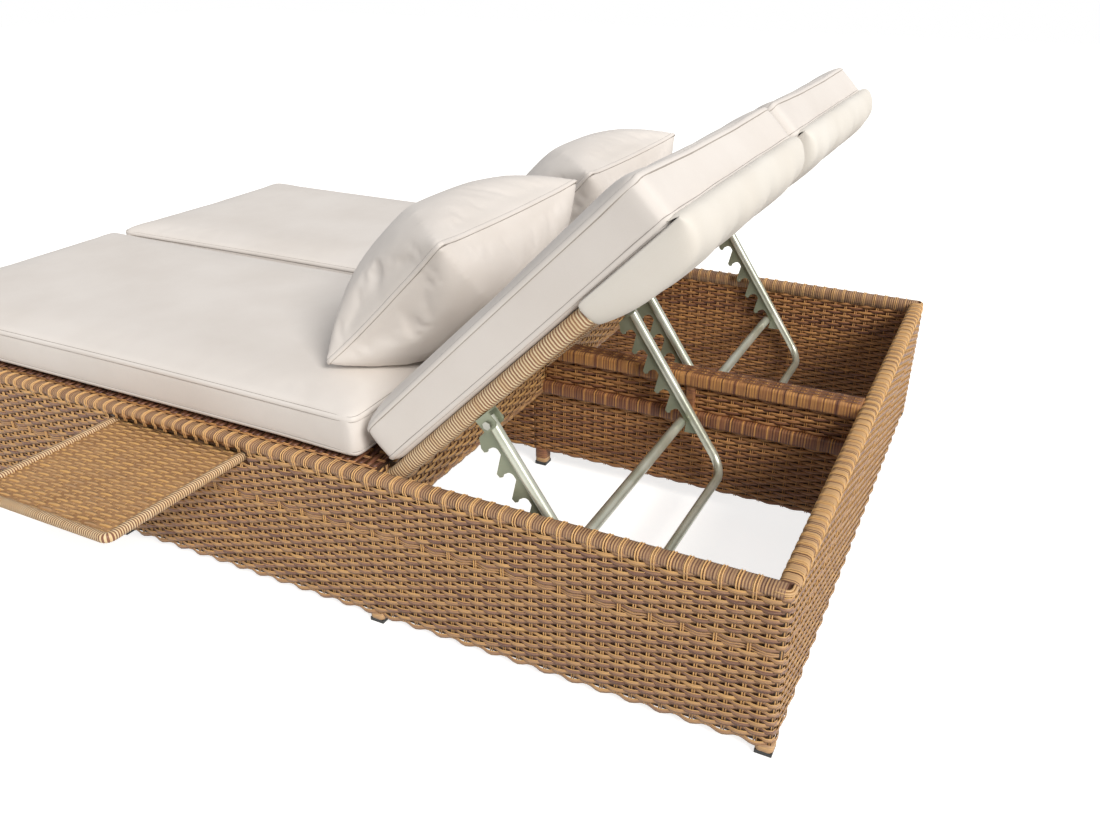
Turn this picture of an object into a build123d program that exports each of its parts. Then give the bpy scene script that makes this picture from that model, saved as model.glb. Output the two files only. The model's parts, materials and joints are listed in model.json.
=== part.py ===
from build123d import *
import os
from math import cos, radians, sin, sqrt

# Double chaise lounger: a woven base box on short legs, two seat cushions on one deck, and two
# backrests side by side that recline one by one. Each backrest stands on a bent tube strut whose
# toothed racks hook over a fixed rest bar. A woven tray slides out of each side wall.
# Millimetres. X across the lounger, +Y towards the head, +Z up. The origin is on the floor, in the
# middle of the base. Right is +X. Left pieces are the right ones mirrored about the YZ plane.

# Overall
LENGTH = 2064.0
WIDTH = 1340.0
RIM_HEIGHT = 314.0
DECK_TOP = 318.0
SEAT_GAP = 0.3            # a soft piece clears what it rests on by this
OVERRUN = 50.0            # how far a cut runs past what it cuts

# Woven skin and the tube frame inside it
WEAVE = 5.0
WEAVE_BOTTOM = 20.0
WRAP_RADIUS = 8.0
RIM_LIP = 30.0
BOTTOM_LIP = 26.0
SKIN_RECESS = 2.0
FRAME_TUBE = 20.0
TUBE_WALL = 1.6
MIDDLE_RAIL_Z = 212.0
END_UPRIGHT_SHARES = (-0.5, 0, 0.5)     # of the end frame's half width
MIDDLE_LEG_FROM_HEAD = 738.0
SEAT_LEG_FROM_FOOT = 671.0

# Feet
CAP_HEIGHT = 9.0
CAP_PLUG_HEIGHT = 14.0
CAP_FLARE = 4.0
CAP_FIT = 0.2
CAP_CHAMFER = 2.0

# Partition between the two head compartments
PARTITION_WIDTH = 50.0
PARTITION_WEB = 30.0
PARTITION_POST_FROM_HEAD = 378.0
PARTITION_POST_WIDTH = 22.0
PARTITION_RADIUS = 6.0
PARTITION_BOTTOM = 42.0

# Seat deck and what carries it
DECK_THICKNESS = 8.0
DECK_GAP = 0.5
BEARER_GAP_SHARES = (0.31, 0.66)     # of the stretch from the foot wall to the tray
SPINE_TUBE = 20.0

# Side trays
TRAY_WIDTH = 340.0
TRAY_DEPTH = 380.0
TRAY_THICKNESS = 16.0
TRAY_EDGE = 16.0
TRAY_PANEL = 11.0
TRAY_HEAD_EDGE_FROM_HEAD = 1004.0
TRAY_HOLD = 80.0          # how much of a pulled-out tray stays inside the wall's outer face
TRAY_RADIUS = 5.0
TRAY_SLOT_GAP = 1.0
RUNNER_WALL = 3.0
RUNNER_LEDGE = 12.0
RUNNER_SPARE = 10.0
RUNNER_GAP = 0.4

# Backrests, along the frame from the hinge axis and square to it
HINGE_FROM_HEAD = 695.0
HINGE_DROP = 18.0
BACK_ANGLE = 44.7
BACK_WALL_GAP = 6.0
BACK_PARTITION_GAP = 11.0
BACK_LENGTH = 655.0
BACK_TAIL = 14.0
RAIL_WIDTH = 28.0
RAIL_DEPTH = 30.0
RAIL_RADIUS = 9.0
RAIL_WRAP_AND_WALL = 4.0
CROSS_TUBE = 20.0
FOOT_TUBE_START = 14.0
SLAT_PLACE_SHARES = (0.36, 0.68)     # of the frame's length
PANEL_THICKNESS = 8.0
HINGE_PIN = 8.0
HINGE_LUG = 4.0
HINGE_LUG_RADIUS = 10.0
HINGE_LUG_GAP = 1.5
RUNNING_FIT = 0.05        # radial play of a pin in the piece that turns on it
PIN_HEAD = 14.0
PIN_HEAD_THICKNESS = 3.0

# Prop struts with toothed racks, along the leg from the strut's pivot and out from its axis
PIVOT_ALONG = 236.0
PIVOT_DROP = 29.0
STRUT_ANGLE = 55.7
STRUT_TUBE = 19.0
STRUT_WALL = 1.5
STRUT_LENGTH = 395.0
STRUT_BEND = 42.0
STRUT_TOP = 10.0
BRACKET_LENGTH = 30.0
BRACKET_PLATE = 2.5
BRACKET_GAP = 1.0
BRACKET_SKIRT = 10.0
BRACKET_CHAMFER = 5.0
BOLT = 8.0
BOLT_HEAD = 13.0
BOLT_HEAD_THICKNESS = 5.0
RACK_THICKNESS = 4.0
RACK_START = 6.0
RACK_SHOULDER = 8.0
FIRST_TIP = 41.0
TOOTH_PITCH = 48.0
TOOTH_COUNT = 5
TOOTH_REACH = 47.0
TOOTH_FLAT = 7.5
TOOTH_LIP = 3.5
TOOTH_CHAMFER = 1.5
TOOTH_TIP_WIDTH = 7.0
NOTCH_RADIUS = 9.0
REST_BAR = 22.0
REST_BAR_ALONG = 262.0
REST_BAR_OUT = 30.0
NOTCH_CLEARANCE = 0.6
RACK_END_FLAT = 5.0
LAST_TOOTH_RUN = 17.0
LAST_TOOTH_RISE = 14.5
LAST_TOOTH_TAIL = 14.0

# Cushions
CUSHION_SIDE_INSET = 18.0
CUSHION_SPLIT = 4.0
CUSHION_THICKNESS = 86.0
CUSHION_CROWN = 12.0
CUSHION_DRAW_IN = 5.0
CUSHION_CORNER = 34.0
CUSHION_BOTTOM_ROUND = 12.0
BACK_CUSHION_ROUND = 34.0
SEAT_CUSHION_FROM_HEAD = 752.0
SEAT_CUSHION_FOOT_INSET = 4.0
BACK_CUSHION_START = 7.0
BACK_CUSHION_OVERHANG = 47.0

# Sleeve sewn under the back cushion's head end, open towards the seat
POCKET_LENGTH = 204.0
POCKET_SLACK = 2.0
POCKET_CLOTH = 3.5
POCKET_SIDE_GAP = 0.5
POCKET_MOUTH_DROP = 17.0
POCKET_DROP = 35.0
POCKET_TOE_DROP = 14.0
POCKET_FULL_SHARE = 0.52
POCKET_HEEL_SHARE = 0.80
POCKET_TOE_SHARE = 0.98

# Throw pillows
PILLOW_WIDTH = 520.0
PILLOW_HEIGHT = 380.0
PILLOW_HALF_THICKNESS = 128.0
PILLOW_EDGE = 4.0
PILLOW_CENTRE_X = 285.0
PILLOW_SEAT_CROWN_SHARE = 0.21       # of the crown under the pillow where it stands on the seat
PILLOW_BACK_CROWN_SHARE = 0.61       # of the crown behind the pillow where it leans on the back
PILLOW_SHOULDER_SHARES = (0.60, 0.80)
PILLOW_FLANK_SHARES = (0.88, 0.475)
PILLOW_STATION_SHARES = (-1.0, -0.86, -0.5, 0.0, 0.5, 0.86, 1.0)
PILLOW_END_SHARE = 0.10
PILLOW_DRAW_IN = 10.0
PILLOW_FULLNESS = 2.4

# Places worked out from the sizes above
HALF_LENGTH = LENGTH / 2
HALF_WIDTH = WIDTH / 2
WALL = FRAME_TUBE + 2 * WEAVE
INNER_X = HALF_WIDTH - WALL
INNER_Y = HALF_LENGTH - WALL
HALF_TUBE = FRAME_TUBE / 2
HALF_WALL = WALL / 2
TUBE_X = HALF_WIDTH - WEAVE - HALF_TUBE
TUBE_Y = HALF_LENGTH - WEAVE - HALF_TUBE
RIM_TUBE_Z = RIM_HEIGHT - WEAVE - HALF_TUBE
BOTTOM_TUBE_Z = WEAVE_BOTTOM + WEAVE + HALF_TUBE
PARTITION_TUBE_Z = PARTITION_BOTTOM + WEAVE + HALF_TUBE
RAIL_LEVELS = (RIM_TUBE_Z, MIDDLE_RAIL_Z, BOTTOM_TUBE_Z)
MIDDLE_LEG_Y = HALF_LENGTH - MIDDLE_LEG_FROM_HEAD
SEAT_LEG_Y = SEAT_LEG_FROM_FOOT - HALF_LENGTH
LEG_YS = (TUBE_Y, MIDDLE_LEG_Y, SEAT_LEG_Y, -TUBE_Y)
BEARER_TOP = DECK_TOP - DECK_THICKNESS
BEARER_Z = BEARER_TOP - HALF_TUBE
HINGE_Y = HALF_LENGTH - HINGE_FROM_HEAD
HINGE_Z = DECK_TOP - HINGE_DROP
TRAY_TOP = RIM_TUBE_Z - HALF_TUBE - TRAY_SLOT_GAP
TRAY_Z = TRAY_TOP - TRAY_THICKNESS / 2
TRAY_HEAD_Y = HALF_LENGTH - TRAY_HEAD_EDGE_FROM_HEAD
TRAY_Y = TRAY_HEAD_Y - TRAY_WIDTH / 2
TRAY_FOOT_Y = TRAY_HEAD_Y - TRAY_WIDTH
TRAY_BEARER_YS = (TRAY_HEAD_Y + RUNNER_GAP + HALF_TUBE, TRAY_FOOT_Y - RUNNER_GAP - HALF_TUBE)
FOOT_STRETCH = TRAY_FOOT_Y + INNER_Y
BEARER_YS = TRAY_BEARER_YS + tuple(share * FOOT_STRETCH - INNER_Y for share in BEARER_GAP_SHARES)
BACK_INNER_X = PARTITION_WIDTH / 2 + BACK_PARTITION_GAP
BACK_OUTER_X = INNER_X - BACK_WALL_GAP
BACK_WIDTH = BACK_OUTER_X - BACK_INNER_X
BACK_CENTRE = (BACK_INNER_X + BACK_OUTER_X) / 2
RAIL_CENTRES = (BACK_INNER_X + RAIL_WIDTH / 2, BACK_OUTER_X - RAIL_WIDTH / 2)
RAIL_TOP = HINGE_DROP
RAIL_BOTTOM = HINGE_DROP - RAIL_DEPTH
CLEAR_BETWEEN_RAILS = BACK_WIDTH - 2 * RAIL_WIDTH
NOTCH_WALL = REST_BAR_OUT - REST_BAR / 2 - NOTCH_CLEARANCE
CUSHION_WIDTH = HALF_WIDTH - CUSHION_SIDE_INSET - CUSHION_SPLIT / 2
CUSHION_CENTRE = CUSHION_SPLIT / 2 + CUSHION_WIDTH / 2
BACK_CUSHION_END = BACK_LENGTH + BACK_CUSHION_OVERHANG

BACK = Plane(
    origin=(0, HINGE_Y, HINGE_Z),
    x_dir=(1, 0, 0),
    z_dir=(0, -sin(radians(BACK_ANGLE)), cos(radians(BACK_ANGLE))),
)
PIVOT = BACK.from_local_coords(Vector(0, PIVOT_ALONG, -PIVOT_DROP))
STRUT = Plane(
    origin=PIVOT,
    x_dir=(1, 0, 0),
    z_dir=(0, sin(radians(STRUT_ANGLE)), cos(radians(STRUT_ANGLE))),
)
REST_BAR_PLACE = STRUT.from_local_coords(Vector(0, REST_BAR_ALONG, -REST_BAR_OUT))


def side_plane(plane, across):
    """The plane of a side view at a distance across: its x runs along the given plane, its y square to it."""
    origin = plane.from_local_coords(Vector(across, 0, 0))
    return Plane(origin=origin, x_dir=plane.y_dir, z_dir=plane.x_dir)


def bar(start, end, middle, depth):
    """A rectangle from start to end along the sketch, and of a given depth about its middle line."""
    with Locations(((start + end) / 2, middle)):
        Rectangle(end - start, depth)


def upright(middle, low, high, width):
    """A rectangle that stands from low to high in the sketch."""
    with Locations((middle, (low + high) / 2)):
        Rectangle(width, high - low)


def export(name, shape):
    shape.label = name
    export_step(shape, f"parts/{name}.step")


def export_pair(name, shape):
    export(f"{name}_right", shape)
    with BuildPart() as mirrored:
        add(shape)
        mirror(about=Plane.YZ, mode=Mode.REPLACE)
    export(f"{name}_left", mirrored.part)


os.makedirs("parts", exist_ok=True)


# Side frames: three rails welded to four posts, hollow, with the posts open at the floor
def side_ladder(inset):
    tube = FRAME_TUBE - 2 * inset
    for level in RAIL_LEVELS:
        bar(inset - TUBE_Y - HALF_TUBE, TUBE_Y + HALF_TUBE - inset, level, tube)
    for leg_y in LEG_YS:
        upright(leg_y, CAP_HEIGHT - inset, RIM_TUBE_Z, tube)


with BuildPart() as side_frame:
    with BuildSketch(Plane.YZ.offset(TUBE_X - HALF_TUBE)):
        side_ladder(0)
    extrude(amount=FRAME_TUBE)
    with BuildSketch(Plane.YZ.offset(TUBE_X - HALF_TUBE + TUBE_WALL)):
        side_ladder(TUBE_WALL)
    extrude(amount=FRAME_TUBE - 2 * TUBE_WALL, mode=Mode.SUBTRACT)
export_pair("side_frame", side_frame.part)


# Head and foot frames: three rails that butt against the corner posts, and three uprights
END_FRAME_HALF = TUBE_X - HALF_TUBE
END_UPRIGHT_XS = tuple(share * END_FRAME_HALF for share in END_UPRIGHT_SHARES)


def end_ladder(inset):
    tube = FRAME_TUBE - 2 * inset
    for level in RAIL_LEVELS:
        bar(-END_FRAME_HALF, END_FRAME_HALF, level, tube)
    for upright_x in END_UPRIGHT_XS:
        upright(upright_x, BOTTOM_TUBE_Z, RIM_TUBE_Z, tube)


def end_frame(middle_y):
    with BuildPart() as frame:
        with BuildSketch(Plane.XZ.offset(-middle_y - HALF_TUBE)):
            end_ladder(0)
        extrude(amount=FRAME_TUBE)
        with BuildSketch(Plane.XZ.offset(-middle_y - HALF_TUBE + TUBE_WALL)):
            end_ladder(TUBE_WALL)
        extrude(amount=FRAME_TUBE - 2 * TUBE_WALL, mode=Mode.SUBTRACT)
    return frame.part


export("head_frame", end_frame(TUBE_Y))
export("foot_frame", end_frame(-TUBE_Y))


# Hinge beam across the lounger, with a pair of lugs for each backrest
LUG_XS = (
    RAIL_CENTRES[0] + RAIL_WIDTH / 2 + HINGE_LUG_GAP + HINGE_LUG / 2,
    RAIL_CENTRES[1] - RAIL_WIDTH / 2 - HINGE_LUG_GAP - HINGE_LUG / 2,
)
with BuildPart() as hinge_beam:
    with BuildSketch(Plane.YZ):
        with Locations((MIDDLE_LEG_Y, BEARER_Z)):
            Rectangle(FRAME_TUBE, FRAME_TUBE)
            Rectangle(FRAME_TUBE - 2 * TUBE_WALL, FRAME_TUBE - 2 * TUBE_WALL, mode=Mode.SUBTRACT)
    extrude(amount=TUBE_X - HALF_TUBE, both=True)
    for lug_x in LUG_XS + tuple(-x for x in LUG_XS):
        with BuildSketch(Plane.YZ.offset(lug_x - HINGE_LUG / 2)):
            bar(MIDDLE_LEG_Y + HALF_TUBE, HINGE_Y, HINGE_Z, 2 * HINGE_LUG_RADIUS)
            with Locations((HINGE_Y, HINGE_Z)):
                Circle(HINGE_LUG_RADIUS)
                Circle(HINGE_PIN / 2 + RUNNING_FIT, mode=Mode.SUBTRACT)
        extrude(amount=HINGE_LUG)
export("hinge_beam", hinge_beam.part)


# Seat bearers: tubes across the base, two of them right over the tray runners
with BuildPart() as seat_bearers:
    with BuildSketch(Plane.YZ):
        with Locations(*[(bearer_y, BEARER_Z) for bearer_y in BEARER_YS]):
            Rectangle(FRAME_TUBE, FRAME_TUBE)
            Rectangle(FRAME_TUBE - 2 * TUBE_WALL, FRAME_TUBE - 2 * TUBE_WALL, mode=Mode.SUBTRACT)
    extrude(amount=TUBE_X - HALF_TUBE, both=True)
export("seat_bearers", seat_bearers.part)


# Centre spine under the bearers, with one leg below the middle of the seat
SPINE_Z = BEARER_Z - HALF_TUBE - SPINE_TUBE / 2
SPINE_HEAD_Y = MIDDLE_LEG_Y - WALL / 2
with BuildPart() as centre_spine:
    with BuildSketch(Plane.YZ.offset(-SPINE_TUBE / 2)):
        bar(-INNER_Y, SPINE_HEAD_Y, SPINE_Z, SPINE_TUBE)
        upright(SEAT_LEG_Y, CAP_HEIGHT, SPINE_Z, SPINE_TUBE)
    extrude(amount=SPINE_TUBE)
    with BuildSketch(Plane.YZ.offset(TUBE_WALL - SPINE_TUBE / 2)):
        bar(-INNER_Y, SPINE_HEAD_Y, SPINE_Z, SPINE_TUBE - 2 * TUBE_WALL)
        upright(SEAT_LEG_Y, CAP_HEIGHT, SPINE_Z, SPINE_TUBE - 2 * TUBE_WALL)
    extrude(amount=SPINE_TUBE - 2 * TUBE_WALL, mode=Mode.SUBTRACT)
export("centre_spine", centre_spine.part)


# Partition frame: a leg under the hinge beam, two wide rails to the head wall, and a bottom rail on both sides
PARTITION_RAIL = PARTITION_WIDTH - 2 * WEAVE
PARTITION_START = MIDDLE_LEG_Y + HALF_TUBE
PARTITION_POST_Y = HALF_LENGTH - PARTITION_POST_FROM_HEAD
PARTITION_END = TUBE_Y - HALF_TUBE


def partition_uprights(inset):
    tube = FRAME_TUBE - 2 * inset
    upright(MIDDLE_LEG_Y, CAP_HEIGHT - inset, BEARER_Z - HALF_TUBE - inset, tube)
    for post_y in (PARTITION_POST_Y, INNER_Y - HALF_TUBE):
        upright(post_y, PARTITION_TUBE_Z, RIM_TUBE_Z, tube)
    bar(SEAT_LEG_Y + HALF_TUBE + inset, PARTITION_END - inset, PARTITION_TUBE_Z, tube)


def partition_rails(inset):
    tube = FRAME_TUBE - 2 * inset
    bar(PARTITION_START + inset, PARTITION_END - inset, RIM_TUBE_Z, tube)
    bar(MIDDLE_LEG_Y + inset, PARTITION_END - inset, MIDDLE_RAIL_Z, tube)


with BuildPart() as partition_frame:
    for inset, mode in ((0, Mode.ADD), (TUBE_WALL, Mode.SUBTRACT)):
        with BuildSketch(Plane.YZ):
            partition_uprights(inset)
        extrude(amount=HALF_TUBE - inset, both=True, mode=mode)
        with BuildSketch(Plane.YZ):
            partition_rails(inset)
        extrude(amount=PARTITION_RAIL / 2 - inset, both=True, mode=mode)
export("partition_frame", partition_frame.part)


# Foot caps: black plugs pushed into the open ends of the legs
CAP_XYS = tuple((side * TUBE_X, leg_y) for side in (1, -1) for leg_y in LEG_YS)
CAP_XYS += ((0, MIDDLE_LEG_Y), (0, SEAT_LEG_Y))
CAP_SIZE = FRAME_TUBE + 2 * CAP_FLARE
with BuildPart() as foot_caps:
    with BuildSketch(Plane.XY):
        with Locations(*CAP_XYS):
            Rectangle(CAP_SIZE, CAP_SIZE)
    extrude(amount=CAP_HEIGHT)
    chamfer(foot_caps.edges().group_by(Axis.Z)[0], length=CAP_CHAMFER)
    with BuildSketch(Plane.XY.offset(CAP_HEIGHT)):
        with Locations(*CAP_XYS):
            Rectangle(FRAME_TUBE - 2 * TUBE_WALL - 2 * CAP_FIT, FRAME_TUBE - 2 * TUBE_WALL - 2 * CAP_FIT)
    extrude(amount=CAP_PLUG_HEIGHT)
export("foot_caps", foot_caps.part)


# Leg wraps: the weave round the legs, between the walls and the caps
WRAPPED_XYS = tuple((side * TUBE_X, leg_y) for side in (1, -1) for leg_y in LEG_YS) + ((0, MIDDLE_LEG_Y),)
with BuildPart() as leg_wraps:
    with BuildSketch(Plane.XY.offset(CAP_HEIGHT)):
        with Locations(*WRAPPED_XYS):
            RectangleRounded(WALL, WALL, WRAP_RADIUS)
            Rectangle(FRAME_TUBE, FRAME_TUBE, mode=Mode.SUBTRACT)
    extrude(amount=WEAVE_BOTTOM - CAP_HEIGHT)
export("leg_wraps", leg_wraps.part)


# Woven wall section: skins on both faces of the frame, wrapped round its top and bottom tubes
def wall_section(outer_face):
    inward = -1 if outer_face > 0 else 1
    height = RIM_HEIGHT - WEAVE_BOTTOM
    with Locations((outer_face + inward * WALL / 2, WEAVE_BOTTOM + height / 2)):
        RectangleRounded(WALL, height, WRAP_RADIUS)
        Rectangle(FRAME_TUBE, height - 2 * WEAVE, mode=Mode.SUBTRACT)
    with Locations((outer_face + inward * WALL, (RIM_HEIGHT - RIM_LIP + WEAVE_BOTTOM + BOTTOM_LIP) / 2)):
        Rectangle(2 * SKIN_RECESS, height - RIM_LIP - BOTTOM_LIP, mode=Mode.SUBTRACT)


# Side skins, with wrapped corner posts, notches for the tubes that cross and the tray's slot
with BuildPart() as side_weave:
    with BuildSketch(Plane.XZ):
        wall_section(HALF_WIDTH)
    extrude(amount=INNER_Y, both=True)
    with BuildSketch(Plane.XY.offset(WEAVE_BOTTOM)):
        with Locations(*[(TUBE_X, leg_y) for leg_y in (TUBE_Y, -TUBE_Y)]):
            RectangleRounded(WALL, WALL, WRAP_RADIUS)
    extrude(amount=RIM_HEIGHT - WEAVE_BOTTOM)
    with BuildSketch(Plane.YZ.offset(TUBE_X - HALF_TUBE)):
        side_ladder(0)
    extrude(amount=FRAME_TUBE, mode=Mode.SUBTRACT)
    with BuildSketch(Plane.YZ):
        for end_y in (TUBE_Y, -TUBE_Y):
            for level in RAIL_LEVELS:
                bar(end_y - HALF_TUBE, end_y + HALF_TUBE, level, FRAME_TUBE)
        for bearer_y in BEARER_YS + (MIDDLE_LEG_Y,):
            bar(bearer_y - HALF_TUBE, bearer_y + HALF_TUBE, BEARER_Z, FRAME_TUBE)
        bar(MIDDLE_LEG_Y - HALF_TUBE, MIDDLE_LEG_Y + HALF_TUBE, MIDDLE_RAIL_Z, FRAME_TUBE)
        with Locations((REST_BAR_PLACE.Y, REST_BAR_PLACE.Z)):
            Circle(REST_BAR / 2)
    extrude(amount=TUBE_X - HALF_TUBE, mode=Mode.SUBTRACT)
    with BuildSketch(Plane.YZ.offset(INNER_X)):
        with Locations((TRAY_Y, TRAY_Z)):
            Rectangle(TRAY_WIDTH + 2 * TRAY_SLOT_GAP, TRAY_THICKNESS + 2 * TRAY_SLOT_GAP)
    extrude(amount=WALL, mode=Mode.SUBTRACT)
export_pair("side_weave", side_weave.part)


# Head and foot skins between the side skins; the head one is notched for the partition's rails
with BuildPart() as head_weave:
    with BuildSketch(Plane.YZ):
        wall_section(HALF_LENGTH)
    extrude(amount=INNER_X, both=True)
    with BuildSketch(Plane.YZ):
        partition_rails(0)
    extrude(amount=PARTITION_RAIL / 2, both=True, mode=Mode.SUBTRACT)
    with BuildSketch(Plane.YZ):
        bar(PARTITION_START, PARTITION_END, PARTITION_TUBE_Z, FRAME_TUBE)
    extrude(amount=HALF_TUBE, both=True, mode=Mode.SUBTRACT)
export("head_weave", head_weave.part)

with BuildPart() as foot_weave:
    with BuildSketch(Plane.YZ):
        wall_section(-HALF_LENGTH)
    extrude(amount=INNER_X, both=True)
export("foot_weave", foot_weave.part)


# Partition skin: a wrapped top rail and a lower rail that stand proud of the woven web
def partition_section(inset):
    for level in (RIM_TUBE_Z, MIDDLE_RAIL_Z):
        with Locations((0, level)):
            if inset:
                Rectangle(PARTITION_WIDTH - 2 * inset, WALL - 2 * inset)
            else:
                RectangleRounded(PARTITION_WIDTH, WALL, PARTITION_RADIUS)
    upright(0, PARTITION_BOTTOM + inset, RIM_TUBE_Z, PARTITION_WEB - 2 * inset)


with BuildPart() as partition_weave:
    with BuildSketch(Plane.XZ.offset(-INNER_Y)):
        partition_section(0)
    extrude(amount=INNER_Y - PARTITION_START)
    with BuildSketch(Plane.YZ):
        upright(PARTITION_POST_Y, MIDDLE_RAIL_Z, RIM_TUBE_Z, PARTITION_POST_WIDTH)
    extrude(amount=PARTITION_RAIL / 2, both=True)
    with BuildSketch(Plane.XY.offset(WEAVE_BOTTOM)):
        with Locations((0, MIDDLE_LEG_Y)):
            RectangleRounded(WALL, WALL, WRAP_RADIUS)
    extrude(amount=BEARER_Z - HALF_TUBE - WEAVE_BOTTOM)
    with BuildSketch(Plane.XZ.offset(-INNER_Y)):
        partition_section(WEAVE)
    extrude(amount=INNER_Y - PARTITION_START, mode=Mode.SUBTRACT)
    with BuildSketch(Plane.YZ):
        upright(MIDDLE_LEG_Y, CAP_HEIGHT, BEARER_Z, FRAME_TUBE)
        bar(MIDDLE_LEG_Y - HALF_WALL, PARTITION_START, PARTITION_TUBE_Z, FRAME_TUBE)
        bar(MIDDLE_LEG_Y, PARTITION_START + WEAVE, BEARER_Z, FRAME_TUBE)
    extrude(amount=HALF_TUBE, both=True, mode=Mode.SUBTRACT)
    with BuildSketch(Plane.YZ):
        bar(MIDDLE_LEG_Y, PARTITION_START + WEAVE, MIDDLE_RAIL_Z, FRAME_TUBE)
    extrude(amount=PARTITION_RAIL / 2, both=True, mode=Mode.SUBTRACT)
    with BuildSketch(Plane.YZ):
        with Locations((REST_BAR_PLACE.Y, REST_BAR_PLACE.Z)):
            Circle(REST_BAR / 2)
    extrude(amount=PARTITION_WIDTH, both=True, mode=Mode.SUBTRACT)
export("partition_weave", partition_weave.part)


# Web under the seat: a woven skin round the bottom rail, from the middle leg to the seat's leg
SPINE_BOTTOM = SPINE_Z - SPINE_TUBE / 2
with BuildPart() as seat_web:
    with BuildSketch(Plane.XZ.offset(HALF_WALL - MIDDLE_LEG_Y)):
        upright(0, PARTITION_BOTTOM, SPINE_BOTTOM, PARTITION_WEB)
    extrude(amount=MIDDLE_LEG_Y - SEAT_LEG_Y - WALL)
    with BuildSketch(Plane.XZ.offset(HALF_WALL - MIDDLE_LEG_Y)):
        upright(0, PARTITION_BOTTOM + WEAVE, SPINE_BOTTOM, PARTITION_WEB - 2 * WEAVE)
    extrude(amount=MIDDLE_LEG_Y - SEAT_LEG_Y - WALL, mode=Mode.SUBTRACT)
export("seat_web", seat_web.part)


# Cross rails below the hinge beam, each with an upright that carries the beam
with BuildPart() as cross_rail:
    for inset, mode in ((0, Mode.ADD), (TUBE_WALL, Mode.SUBTRACT)):
        with BuildSketch(Plane.XZ.offset(-MIDDLE_LEG_Y)):
            bar(PARTITION_RAIL / 2, END_FRAME_HALF, MIDDLE_RAIL_Z, FRAME_TUBE - 2 * inset)
            upright(END_UPRIGHT_XS[-1], MIDDLE_RAIL_Z, BEARER_Z - HALF_TUBE, FRAME_TUBE - 2 * inset)
        extrude(amount=HALF_TUBE - inset, both=True, mode=mode)
export_pair("cross_rail", cross_rail.part)


# Cross skins: woven round the cross rail and up both faces of the hinge beam, with notches for its lugs
with BuildPart() as cross_weave:
    with BuildSketch(Plane.YZ.offset(HALF_WALL)):
        upright(MIDDLE_LEG_Y, MIDDLE_RAIL_Z - HALF_WALL, BEARER_TOP, WALL)
    extrude(amount=INNER_X - HALF_WALL)
    with BuildSketch(Plane.YZ.offset(HALF_WALL)):
        upright(MIDDLE_LEG_Y, MIDDLE_RAIL_Z - HALF_TUBE, BEARER_TOP, FRAME_TUBE)
    extrude(amount=INNER_X - HALF_WALL, mode=Mode.SUBTRACT)
    with BuildSketch(Plane.XZ.offset(-INNER_Y)):
        partition_section(0)
    extrude(amount=INNER_Y - PARTITION_START, mode=Mode.SUBTRACT)
    for lug_x in LUG_XS:
        with BuildSketch(Plane.YZ.offset(lug_x - HINGE_LUG / 2)):
            bar(MIDDLE_LEG_Y, HINGE_Y, HINGE_Z, 2 * HINGE_LUG_RADIUS)
        extrude(amount=HINGE_LUG, mode=Mode.SUBTRACT)
export_pair("cross_weave", cross_weave.part)


# Rest bars: fixed tubes from each side frame's middle rail to the partition's lower rail
with BuildPart() as rest_bar:
    with BuildSketch(Plane.YZ.offset(PARTITION_RAIL / 2)):
        with Locations((REST_BAR_PLACE.Y, REST_BAR_PLACE.Z)):
            Circle(REST_BAR / 2)
            Circle(REST_BAR / 2 - TUBE_WALL, mode=Mode.SUBTRACT)
    extrude(amount=TUBE_X - HALF_TUBE - PARTITION_RAIL / 2)
export_pair("rest_bar", rest_bar.part)


# Seat deck: one woven panel on the bearers
with BuildPart() as seat_deck:
    with BuildSketch(Plane.XY.offset(BEARER_TOP)):
        with Locations((0, (MIDDLE_LEG_Y + HALF_TUBE - INNER_Y + DECK_GAP) / 2)):
            Rectangle(2 * (INNER_X - DECK_GAP), MIDDLE_LEG_Y + HALF_TUBE + INNER_Y - DECK_GAP)
    extrude(amount=DECK_THICKNESS)
export("seat_deck", seat_deck.part)


# Side trays, pulled out: a tube frame round a woven panel
TRAY_INNER_X = HALF_WIDTH - TRAY_HOLD
TRAY_X = TRAY_INNER_X + TRAY_DEPTH / 2
with BuildPart() as tray_frame:
    with BuildSketch(Plane.XY.offset(TRAY_TOP - TRAY_THICKNESS)):
        with Locations((TRAY_X, TRAY_Y)):
            RectangleRounded(TRAY_DEPTH, TRAY_WIDTH, TRAY_EDGE)
            Rectangle(TRAY_DEPTH - 2 * TRAY_EDGE, TRAY_WIDTH - 2 * TRAY_EDGE, mode=Mode.SUBTRACT)
    extrude(amount=TRAY_THICKNESS)
    rims = [face.outer_wire().edges() for face in tray_frame.faces().filter_by(Axis.Z)]
    fillet(rims[0] + rims[1], radius=TRAY_RADIUS)
export_pair("tray_frame", tray_frame.part)

with BuildPart() as tray_weave:
    with BuildSketch(Plane.XY.offset(TRAY_Z - TRAY_PANEL / 2)):
        with Locations((TRAY_X, TRAY_Y)):
            Rectangle(TRAY_DEPTH - 2 * TRAY_EDGE, TRAY_WIDTH - 2 * TRAY_EDGE)
    extrude(amount=TRAY_PANEL)
export_pair("tray_weave", tray_weave.part)

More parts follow.
